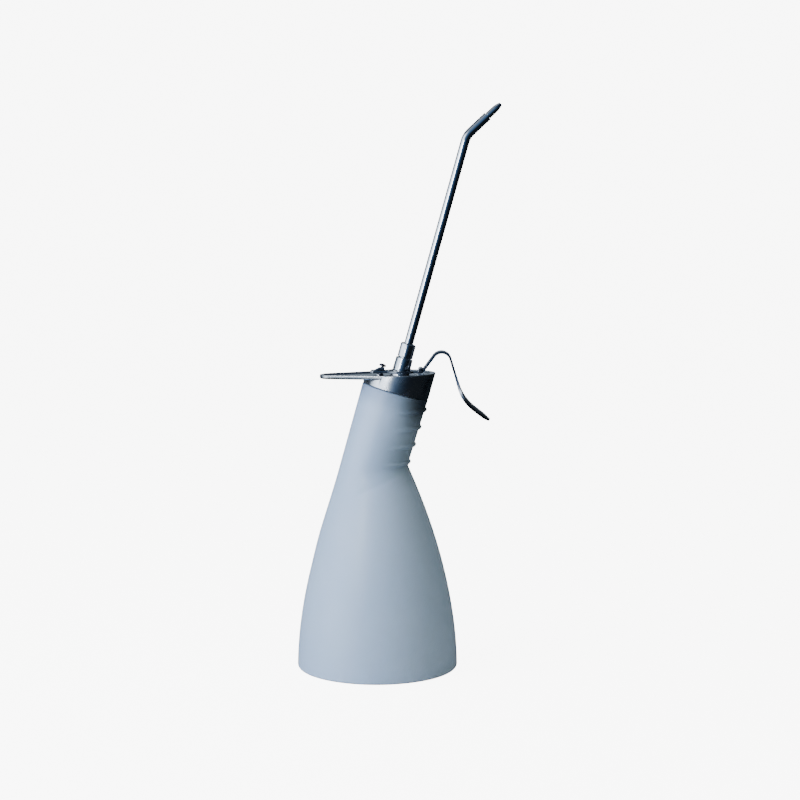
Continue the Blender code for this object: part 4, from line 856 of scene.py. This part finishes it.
# %% First and last steps of every shape tree
def opened_tree(name, **sizes):
    """A tree with named inputs; a default's type says what kind of input it is."""
    tree = bpy.data.node_groups.new(name, "GeometryNodeTree")
    for in_out in ("INPUT", "OUTPUT"):
        tree.interface.new_socket("Geometry", in_out=in_out, socket_type="NodeSocketGeometry")
    kinds = {float: "NodeSocketFloat", int: "NodeSocketInt", bool: "NodeSocketBool"}
    for label, default in sizes.items():
        kind = kinds.get(type(default), "NodeSocketMaterial")
        socket = tree.interface.new_socket(label.replace("_", " "), in_out="INPUT", socket_type=kind)
        socket.default_value = default
    return tree, tree.nodes.new("NodeGroupInput").outputs


def closed_tree(tree, given, geometry):
    """Shade smooth, make real, dress and hand out."""
    for kind, extra in (("GeometryNodeSetShadeSmooth", {}), ("GeometryNodeRealizeInstances", {}),
                        ("GeometryNodeSetMaterial", {"Material": given["Finish"]})):
        geometry = add_node(tree, kind, Geometry=geometry, **extra).outputs["Geometry"]
    fill(tree, tree.nodes.new("NodeGroupOutput"), geometry)
    return tree

# %% Running a tree on a piece
def run_tree(piece, tree, **values):
    """Attach a tree and set its inputs by their identifiers."""
    modifier = add_step(piece, tree.name, "NODES", node_group=tree)
    for item in tree.interface.items_tree:
        label = item.name.replace(" ", "_")
        if item.in_out == "INPUT" and label in values:
            modifier[item.identifier] = values[label]

# %% A node tree that draws a round wire or tube along a path
def wire_tree(name, path_builder, finish):
    """Tree that sweeps a circle along the path that path_builder makes."""
    tree, given = opened_tree(name, Radius=0.001, Bend=0.01, Length=0.1, Coil_Radius=0.002, Turns=8.0,
                              Sides=12, Closed_Ends=True, Finish=finish)
    profile = add_node(tree, "GeometryNodeCurvePrimitiveCircle", Resolution=given["Sides"],
                       Radius=given["Radius"]).outputs["Curve"]
    swept = add_node(tree, "GeometryNodeCurveToMesh", Curve=path_builder(tree, given), Profile_Curve=profile,
                     Fill_Caps=given["Closed Ends"])
    return closed_tree(tree, given, swept.outputs["Mesh"])


def filleted_path(tree, given):
    """The object's own poly line, each corner bent to one radius."""
    line = add_node(tree, "GeometryNodeMeshToCurve", Mesh=given["Geometry"])
    kinked = add_node(tree, "GeometryNodeFilletCurve", Curve=line.outputs["Curve"], Radius=given["Bend"])
    if hasattr(kinked, "mode"):
        kinked.mode = "POLY"
    return fill(tree, kinked, Count=24).outputs["Curve"]


def coiled_path(tree, given):
    """A helix about the object's own upright axis."""
    radius = given["Coil Radius"]
    return add_node(tree, "GeometryNodeCurveSpiral", Resolution=32, Rotations=given["Turns"],
                    Start_Radius=radius, End_Radius=radius, Height=given["Length"]).outputs["Curve"]


bent_tube = wire_tree("bent_tube", filleted_path, tube_steel)
coil_spring = wire_tree("coil_spring", coiled_path, nickel)
print("trees:", bent_tube.name, coil_spring.name)

# %% Spout tube along its bent path
TUBE_RADIUS = 0.0027
TUBE_WALL = 0.0008
BEND_LEVEL = 0.1573
BEND_ANGLE = math.radians(31.4)
BEND_RADIUS = 0.012
SPOUT_END = 0.0169
tube_foot = neck_box("spout_tube")[0].z
end_point = Vector((SPOUT_END * math.sin(BEND_ANGLE), 0.0, BEND_LEVEL + SPOUT_END * math.cos(BEND_ANGLE)))
spout_line = [NECK_FRAME @ Vector(p) for p in ((0.0, 0.0, tube_foot), (0.0, 0.0, BEND_LEVEL), end_point)]


def poly_line(name, points):
    edges = [(i, i + 1) for i in range(len(points) - 1)]
    return new_object(name, plain_mesh(name, [tuple(p) for p in points], edges, []))


spout = poly_line("spout_drawn", spout_line)
run_tree(spout, bent_tube, Radius=TUBE_RADIUS, Bend=BEND_RADIUS, Sides=64, Closed_Ends=False)
add_step(spout, "wall", "SOLIDIFY", thickness=TUBE_WALL, offset=-1.0)
spout = worked_in(spout)
stands_for(shaded(spout), "spout_tube", tube_steel)

# %% [markdown]
# The nozzle is pressed into the tube's end and tapers to a fine tip. It is turned like the other
# fittings, about the axis that the bend has given to the last run of tube.

# %% Nozzle
NOZZLE_LENGTH = 0.0106
NOZZLE_SHANK = 0.0017
NOZZLE_BORE = 0.0005
NOZZLE_DEPTH = 0.005
nozzle_frame = NECK_FRAME @ Matrix.Translation(end_point) @ Matrix.Rotation(BEND_ANGLE, 4, "Y")
nozzle_profile = [(NOZZLE_SHANK, -NOZZLE_DEPTH), (NOZZLE_SHANK, SEAT_GAP), (0.00215, SEAT_GAP),
                  (0.0020, 0.0075), (0.0011, NOZZLE_LENGTH), (NOZZLE_BORE, NOZZLE_LENGTH),
                  (NOZZLE_BORE, -NOZZLE_DEPTH)]
nozzle_ease = [0, 0, 0.0003, 0.0030, 0.0005, 0.0001, 0]
turned_piece("nozzle_tip", "nozzle_turning", tube_steel, eased(nozzle_profile, nozzle_ease, 6), 64,
             place=nozzle_frame)

# %% [markdown]
# The trigger lever is one stamping. A flat yoke goes round the spout, a narrow strip climbs over a
# hump, sweeps down and widens into a pad that is dished for the finger. The strip follows a path,
# so Geometry Nodes make it: a flat grid, with one direction along the lever and one across, is
# laid onto the path, widened by the named sizes, and its edges are lifted towards the finger. The
# sheet then gets its thickness and rounded edges from modifiers.

# %% The path of the lever's strip
SHEET = 0.0014
SHEET_RISE = 0.00115
SHEET_Z = RECESS_Z + SHEET_RISE + SHEET / 2
KNUCKLE_RADIUS = 0.0016
KNUCKLE_LENGTH = 0.0034
KNUCKLE_END = LUG_WIDTH / 2 + SEAT_GAP + KNUCKLE_LENGTH
BRIDGE_HALF_WIDTH = 0.0055
lever_corners = [(-KNUCKLE_RADIUS, SHEET_Z - PIVOT_Z), (0.0010, SHEET_Z - PIVOT_Z), (0.01464, 0.0176),
                 (0.02515, -0.0174), (0.0413, -0.0300)]
lever_bends = (0.0015, 0.0056, 0.026)


def bent_line(corners, radii, steps=24):
    """Poly line through corners, each inner corner bent to its own radius."""
    points = [Vector(c) for c in corners]
    path = [points[0]]
    for before, corner, after, radius in zip(points, points[1:], points[2:], radii):
        into, out = (corner - before).normalized(), (after - corner).normalized()
        turn = into.angle(out)
        tangent = radius * math.tan(turn / 2)
        side = 1.0 if into.cross(out) > 0 else -1.0
        start = corner - into * tangent
        centre = start + side * radius * Vector((-into.y, into.x))
        path += [centre + Matrix.Rotation(side * turn * i / steps, 2) @ (start - centre)
                 for i in range(steps + 1)]
    return path + [points[-1]]


lever_path = bent_line(lever_corners, lever_bends)
path_length = sum((b - a).length for a, b in zip(lever_path, lever_path[1:]))
print("strip length along its path:", round(path_length * 1000, 1), "mm")

# %% A node tree that lays a sheet along a path
STRIP_COLUMNS = 160
STRIP_ROWS = 25
WAIST_SPAN = (0.10, 0.30)
SWELL_SPAN = (0.48, 0.74)
DISH_SPAN = (0.46, 0.78)
DISH_END = (0.93, 1.0)
TIP_FULLNESS = 0.975


def strip_tree():
    """Lays a grid onto the object's poly line; X of the grid runs along it and Y across."""
    tree, given = opened_tree("lever_strip", Bridge_Half_Width=BRIDGE_HALF_WIDTH, Strip_Half_Width=0.0046,
                              Pad_Half_Width=0.0084, Dish=0.0011, Tip_Share=0.12, Finish=strip_steel)

    def calc(operation, *values):
        return math_node(tree, operation, *values)

    grid = add_node(tree, "GeometryNodeMeshGrid", Size_X=1.0, Size_Y=2.0, Vertices_X=STRIP_COLUMNS,
                    Vertices_Y=STRIP_ROWS)
    apart = parts_of(tree, tree.nodes.new("GeometryNodeInputPosition").outputs[0])
    share, across = calc("ADD", apart["X"], 0.5), apart["Y"]
    bridge, waist, pad, tip = (given[label] for label in (
        "Bridge Half Width", "Strip Half Width", "Pad Half Width", "Tip Share"))
    narrowed = calc("MULTIPLY", faded(tree, share, *WAIST_SPAN), calc("SUBTRACT", waist, bridge))
    widened = calc("MULTIPLY", faded(tree, share, *SWELL_SPAN), calc("SUBTRACT", pad, waist))
    half = calc("ADD", calc("ADD", bridge, narrowed), widened)
    into_tip = calc("DIVIDE", calc("MAXIMUM", calc("SUBTRACT", share, calc("SUBTRACT", 1.0, tip)), 0.0), tip)
    squared = calc("POWER", calc("MULTIPLY", into_tip, TIP_FULLNESS), 2.0)
    half = calc("MULTIPLY", half, calc("SQRT", calc("SUBTRACT", 1.0, squared)))
    dished = calc("MULTIPLY", faded(tree, share, *DISH_SPAN), faded(tree, share, *DISH_END, 0.0, 1.0))
    lift = calc("MULTIPLY", calc("MULTIPLY", given["Dish"], dished),
                calc("SUBTRACT", calc("POWER", across, 2.0), 0.5))
    line = add_node(tree, "GeometryNodeMeshToCurve", Mesh=given["Geometry"]).outputs["Curve"]
    sampled = add_node(tree, "GeometryNodeSampleCurve", {"mode": "FACTOR", "use_all_curves": False},
                       Curves=line, Factor=share).outputs
    outward = vector_node(tree, "CROSS_PRODUCT", sampled["Tangent"], (0.0, 1.0, 0.0))
    raised = vector_node(tree, "SCALE", outward, Scale=calc("MULTIPLY", lift, -1.0))
    sideways = add_node(tree, "ShaderNodeCombineXYZ", Y=calc("MULTIPLY", across, half)).outputs[0]
    shifted = vector_node(tree, "ADD", vector_node(tree, "ADD", sampled["Position"], raised), sideways)
    laid = add_node(tree, "GeometryNodeSetPosition", Geometry=grid.outputs["Mesh"], Position=shifted)
    return closed_tree(tree, given, laid.outputs["Geometry"])


lever_strip = strip_tree()
print("tree:", lever_strip.name)

# %% [markdown]
# The strip leaves its node tree as a sheet without thickness. Solidify grows it evenly to both
# sides, and the bevel rounds the sheared edges as tumbling does. Yoke, knuckles and the lanced
# fork are joined to it, and then the openings are punched: the window and notch for the plunger,
# the hole for the spout, the slot for the lug and the bore for the pin.

# %% The strip with its thickness
TIP_LENGTH = 0.0075
strip = poly_line("strip", [(p.x, 0.0, p.y) for p in lever_path])
run_tree(strip, lever_strip, Tip_Share=TIP_LENGTH / path_length)
add_step(strip, "sheet", "SOLIDIFY", thickness=SHEET + 0.0001, offset=0.0)
add_step(strip, "sheared_edges", "BEVEL", width=0.00014, segments=5, angle_limit=math.radians(50))
strip = worked_in(strip)
print("faces of the strip:", len(strip.data.polygons))

# %% Where rod, cap and spout pass the sheet
WINDOW_BACK = 0.0044
WINDOW_FRONT = 0.0029
WINDOW_HALF_WIDTH = 0.0029
YOKE_BACK = 0.0062
YOKE_RADIUS = 0.0092
YOKE_CORNER = 0.0015
TONGUE_HALF_WIDTH = 0.0045
SPOUT_HOLE = 0.0070
SPOUT_FLARE = 0.00015
FORK_RISE = 0.0018
FORK_HALF_WIDTH = 0.0025
NOTCH_RADIUS = 0.00125


def rod_x(height):
    """X of the plunger's axis, counted from the lever's pin, at a height above the table."""
    level = level_at(-ROD_OFFSET, height)
    return AXIS_X + SEAM_X - ROD_OFFSET * TILT_COS + level * TILT_SIN - PIVOT_X


ROD_X = rod_x(SHEET_Z)
CAP_X = rod_x(SHEET_Z + FORK_RISE + SHEET / 2)
SPOUT_X = AXIS_X + axis_x(SHEET_Z) - PIVOT_X
print("from pin to rod:", round(-ROD_X * 1000, 1), "mm, to spout:", round(-SPOUT_X * 1000, 1), "mm")

# %% Yoke, fork and openings
def plate_mesh(name, outline, low, high, ease=0.0):
    """A flat plate from a plan outline, its edges eased by shrinking the first and last levels."""
    centre = Vector((sum(x for x, _ in outline), sum(y for _, y in outline))) / len(outline)
    steps = [(0.0, low), (0.0, high)]
    if ease:
        steps = [(ease, low), (0.0, low + ease), (0.0, high - ease), (ease, high)]
    rings = [[Vector((x, y, z)) - Vector((x - centre.x, y - centre.y, 0.0)).normalized() * inset
              for x, y in outline]
             for inset, z in steps]
    return skin_mesh(name, rings)


def yoke_outline():
    tongue = math.pi - math.asin(TONGUE_HALF_WIDTH / YOKE_RADIUS)
    bridge = math.asin(BRIDGE_HALF_WIDTH / YOKE_RADIUS)
    corner = (ROD_X - YOKE_BACK + YOKE_CORNER, TONGUE_HALF_WIDTH - YOKE_CORNER)
    upper = arc(corner, YOKE_CORNER, math.pi, math.pi / 2, 10)
    upper += arc((SPOUT_X, 0.0), YOKE_RADIUS, tongue, bridge, 48)
    upper.append((0.0, BRIDGE_HALF_WIDTH))
    return upper + [(x, -y) for x, y in reversed(upper)]


def fork_sheet():
    """The lanced tab: a narrow sheet that ramps up from the yoke to lie under the cap."""
    root, low = ROD_X - WINDOW_BACK, SHEET_Z - PIVOT_Z
    high = low + FORK_RISE
    line = bent_line([(root - SHEET, low), (root, low), (root + 0.0036, high), (CAP_X + 0.0014, high)],
                     (SHEET, SHEET), 8)
    wide, slim = FORK_HALF_WIDTH, FORK_HALF_WIDTH - 0.0002
    section = ((-wide, -0.6), (-slim, -1.0), (slim, -1.0), (wide, -0.6),
               (wide, 0.6), (slim, 1.0), (-slim, 1.0), (-wide, 0.6))
    rings = []
    for before, here, after in zip([line[0]] + line[:-1], line, line[1:] + [line[-1]]):
        heading = (after - before).normalized()
        up = Vector((-heading.y, heading.x)) * (SHEET / 2 - 0.00005)
        rings.append([Vector((here.x + up.x * lift, y, here.y + up.y * lift)) for y, lift in section])
    return skin_mesh("fork", rings)


def block_outline(low_x, high_x, half_y):
    return [(low_x, -half_y), (high_x, -half_y), (high_x, half_y), (low_x, half_y)]


def lying_bar(radius, half_length, ease=0.0):
    mesh = turned_mesh("bar", [(radius - ease, -half_length), (radius, -half_length + ease),
                               (radius, half_length - ease), (radius - ease, half_length)], 48)
    mesh.transform(Matrix.Rotation(math.pi / 2, 4, "X"))
    return mesh

# %% The lever as one stamping
low, high = SHEET_Z - PIVOT_Z - SHEET / 2, SHEET_Z - PIVOT_Z + SHEET / 2
lever = new_object("lever_stamping", plate_mesh("lever_stamping", yoke_outline(), low, high, 0.0002))
cut(lever, strip.data, "UNION")
cut(lever, lying_bar(KNUCKLE_RADIUS, KNUCKLE_END, 0.0002), "UNION")
window = block_outline(ROD_X - WINDOW_BACK, ROD_X + WINDOW_FRONT, WINDOW_HALF_WIDTH)
cut(lever, plate_mesh("window", eased(window, 0.0004, 4), low - THROUGH, high + 0.0003))
cut(lever, fork_sheet(), "UNION")
notch = arc(((ROD_X + CAP_X) / 2, 0.0), NOTCH_RADIUS, math.pi / 2, 1.5 * math.pi, 16)
notch += [(CAP_X + 0.0034, -NOTCH_RADIUS), (CAP_X + 0.0034, NOTCH_RADIUS)]
cut(lever, plate_mesh("notch", notch, low, high + FORK_RISE + THROUGH))
flared = SPOUT_HOLE + SPOUT_FLARE
spout_hole = [(flared, low - THROUGH), (flared, low), (SPOUT_HOLE, low + SPOUT_FLARE),
              (SPOUT_HOLE, high - SPOUT_FLARE), (flared, high), (flared, high + THROUGH)]
cut(lever, turned_mesh("spout_hole", spout_hole, 96, (SPOUT_X, 0.0)))
lug_slot = block_outline(-LUG_RADIUS - 0.0006, LUG_RADIUS + 0.0006, LUG_WIDTH / 2 + SEAT_GAP)
cut(lever, plate_mesh("lug_slot", eased(lug_slot, 0.0003, 4), low - THROUGH, KNUCKLE_RADIUS + THROUGH))
cut(lever, lying_bar(PIN_BORE, PIN_END + THROUGH))
lever = worked_in(lever)
bpy.data.objects.remove(strip)
lever.data.transform(Matrix.Translation((PIVOT_X, 0.0, PIVOT_Z)))
stands_for(shaded(lever), "trigger_lever", strip_steel)

# %% [markdown]
# Inside the bottle the pump stays as the CAD made it: it shows only when the head is lifted out.
# Its nodes are loose triangles, so a merged copy is shaded smooth for each and stands in for the
# node. The springs are different: they are wound wire, which is a path again.

# %% Inner pieces, from merged copies of their nodes
def merge(bm):
    bmesh.ops.remove_doubles(bm, verts=bm.verts, dist=1e-6)
    bmesh.ops.dissolve_limit(bm, angle_limit=math.radians(1), verts=bm.verts, edges=bm.edges)


def merged_copy(node, material):
    mesh = remeshed(frame["nodes"][node].data.copy(), merge)
    return stands_for(shaded(new_object(node + "_finished", mesh)), node, material)


for material, nodes in ((rubber, ("neck_gasket", "gland_seal", "piston_seal", "column_washer")),
                        (brass, ("spout_ferrule", "piston", "barrel_end", "inlet_seat", "intake_strainer")),
                        (blasted_zinc, ("pump_body",)), (clear_tube, ("dip_tube",)),
                        (nickel, ("outlet_ball", "inlet_ball"))):
    for node in nodes:
        merged_copy(node, material)

# %% Springs as wound wire
def spring(name, node, wire, turns, centre_x):
    low, high = neck_box(node)
    coil = (high.y - low.y) / 2 - wire / 2
    piece = new_object(name, bpy.data.meshes.new(name))
    run_tree(piece, coil_spring, Radius=wire / 2, Coil_Radius=coil, Turns=turns, Length=high.z - low.z - wire)
    piece = worked_in(piece)
    piece.data.transform(NECK_FRAME @ Matrix.Translation((centre_x, 0.0, low.z + wire / 2)))
    stands_for(shaded(piece), node, nickel)
    return piece, NECK_FRAME @ Vector((centre_x, 0.0, high.z))


return_coil, return_top = spring("return_coil", "return_spring", 0.0006, 8.0, -ROD_OFFSET)
outlet_coil, outlet_top = spring("outlet_coil", "outlet_spring", 0.00035, 5.0, 0.0)
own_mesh(return_coil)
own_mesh(outlet_coil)

# %% [markdown]
# The studio is plain: a white floor that runs back into a white backdrop, one large soft light far
# to the left, and little else. Polished metal shows only what it mirrors, so the room that it
# mirrors matters more than the lights. That room is drawn in the world. By the compass it has a
# bright screen at the left that fades towards the camera, deep blue at the right and grey behind.
# It is dark below the horizon and above the walls, but for a bright piece of ceiling at the left.
# The floor and the large lamps stay out of mirror images, so that the metals show little but this
# room. The plastic is lit by a dimmer, warmer one, which keeps its shadow side from turning blue.

# %% Floor and backdrop
FLOOR_GLOW = 8.0


def studio_floor():
    profile = [(-3.0, 0.0), (2.2, 0.0), (2.8, 0.1), (3.1, 0.5), (3.2, 1.2), (3.2, 3.0)]
    points = [(x, y, z) for x in (-5.0, 5.0) for y, z in eased(profile, 0.5, 8, closed=False)]
    half = len(points) // 2
    faces = [(i, i + half, i + half + 1, i + 1) for i in range(half - 1)]
    mesh = plain_mesh("studio_floor", points, [], faces)
    mesh.shade_smooth()
    floor = new_object("studio_floor", mesh)
    material, tree, shader, place = new_finish(
        "studio_paper", Roughness=0.8, Specular_IOR_Level=0.1, Emission_Color=(1.0, 1.0, 1.0, 1.0))
    tone = between(tree, noise(tree, place, 40.0, 2.0), [(0.3, (0.60,) * 3), (0.7, (0.62,) * 3)])
    seen = add_node(tree, "ShaderNodeLightPath").outputs["Is Camera Ray"]
    fill(tree, shader, Base_Color=tone, Emission_Strength=math_node(tree, "MULTIPLY", seen, FLOOR_GLOW))
    mesh.materials.append(material)
    floor.visible_glossy = False
    return floor


print("stage:", studio_floor().name)

# %% The room that the metals mirror
MIRROR_GLOW = 5.0
FILL_LIGHT = (0.39, 0.40, 0.32, 1.0)


def room_light():
    world = bpy.data.worlds.new("studio_room")
    bpy.context.scene.world = world
    world.use_nodes = True
    tree = world.node_tree
    apart = parts_of(tree, add_node(tree, "ShaderNodeTexCoord").outputs["Generated"])
    compass = math_node(tree, "ARCTAN2", *(math_node(tree, "MULTIPLY", apart[axis], -1.0) for axis in "XY"))
    walls = between(tree, ranged(tree, compass, 0.0, 1.0, -math.pi, math.pi), [
        (0.0, (0.065, 0.078, 0.092)), (0.06, (0.006, 0.008, 0.009)), (0.30, (0.0012, 0.0017, 0.0024)),
        (0.40, (0.0014, 0.003, 0.008)), (0.447, (0.003, 0.009, 0.021)), (0.49, (0.008, 0.020, 0.038)),
        (0.555, (0.026, 0.048, 0.085)), (0.60, (0.11, 0.15, 0.20)), (0.65, (0.70, 0.77, 0.84)),
        (0.70, (0.74, 0.80, 0.86)), (0.74, (0.40, 0.44, 0.48)), (0.78, (0.13, 0.155, 0.18)),
        (0.82, (0.030, 0.038, 0.045)), (0.92, (0.022, 0.028, 0.034)), (1.0, (0.065, 0.078, 0.092))])
    mirrored = vector_node(tree, "SCALE", walls, Scale=MIRROR_GLOW)
    high = faded(tree, apart["Z"], 0.40, 0.64, 0.88)
    ceiling = math_node(tree, "MULTIPLY", faded(tree, apart["Z"], 0.72, 0.94),
                        faded(tree, apart["X"], 0.12, -0.25))
    low = faded(tree, apart["Z"], 0.04, -0.28)
    for share, colour in ((high, (0.05, 0.07, 0.10, 1.0)), (ceiling, (0.55, 0.60, 0.66, 1.0)),
                          (low, (0.008, 0.011, 0.015, 1.0))):
        mirrored = blended(tree, share, mirrored, colour)
    ray = add_node(tree, "ShaderNodeLightPath").outputs
    room = blended(tree, ray["Is Glossy Ray"], FILL_LIGHT, mirrored)
    seen = blended(tree, ray["Is Camera Ray"], room, (FLOOR_GLOW, FLOOR_GLOW, FLOOR_GLOW, 1.0))
    fill(tree, tree.nodes["Background"], Color=seen, Strength=1.0)
    return world


print("room:", room_light().name)

# %% [markdown]
# Lights and camera. The softbox at the left is wide, so its edge on the plastic stays soft, and a
# weaker one overhead lifts the deck and the floor. The small lamp at the left front is the only
# one that the metals mirror: it draws the bright line on the spout. The camera stands level with
# the neck and looks down by less than seven degrees, from more than a metre away, which is why the
# base shows only a thin ellipse.

# %% Lights
def stood_at(thing, place, way):
    """Put a lamp or the camera in its place and turn it to look along a direction."""
    return with_settings(thing, location=place, rotation_euler=way.to_track_quat("-Z", "Y").to_euler())


def soft_box(name, place, target, size, power, colour=(1.0, 1.0, 1.0), mirrored=False):
    light = with_settings(bpy.data.lights.new(name, "AREA"), shape="RECTANGLE", size=size[0],
                          size_y=size[1], energy=power, color=colour)
    lamp = with_settings(new_object(name, light), visible_glossy=mirrored)
    return stood_at(lamp, place, Vector(target) - Vector(place))


spout_aim = (AXIS_X + axis_x(0.26), 0.0, 0.26)
soft_box("left_box", (-1.25, -0.66, 0.60), (0.0, 0.0, 0.13), (0.9, 1.1), 27.0, (0.86, 0.93, 1.0))
soft_box("top_box", (-0.3, 0.1, 1.8), (0.0, 0.0, 0.1), (1.2, 1.2), 4.5)
soft_box("spout_light", (-0.34, -0.47, 0.35), spout_aim, (0.13, 0.20), 1.5, mirrored=True)

# %% Camera
FOCAL_PIXELS = 1913.0
FRAME_PIXELS = 800.0
SENSOR_WIDTH = 36.0
CAMERA_PITCH = math.radians(6.6)
CAMERA_DISTANCE = 1.148
aim = Vector((AXIS_X + 0.0137, 0.0, 0.1626))
look = Vector((0.0, math.cos(CAMERA_PITCH), -math.sin(CAMERA_PITCH)))
camera_data = with_settings(bpy.data.cameras.new("camera"), sensor_width=SENSOR_WIDTH,
                            lens=SENSOR_WIDTH * FOCAL_PIXELS / FRAME_PIXELS)
camera = stood_at(new_object("camera", camera_data), aim - look * CAMERA_DISTANCE, look)
bpy.context.scene.camera = camera
print("camera at", [round(v, 3) for v in camera.location], "lens", round(camera_data.lens, 1))
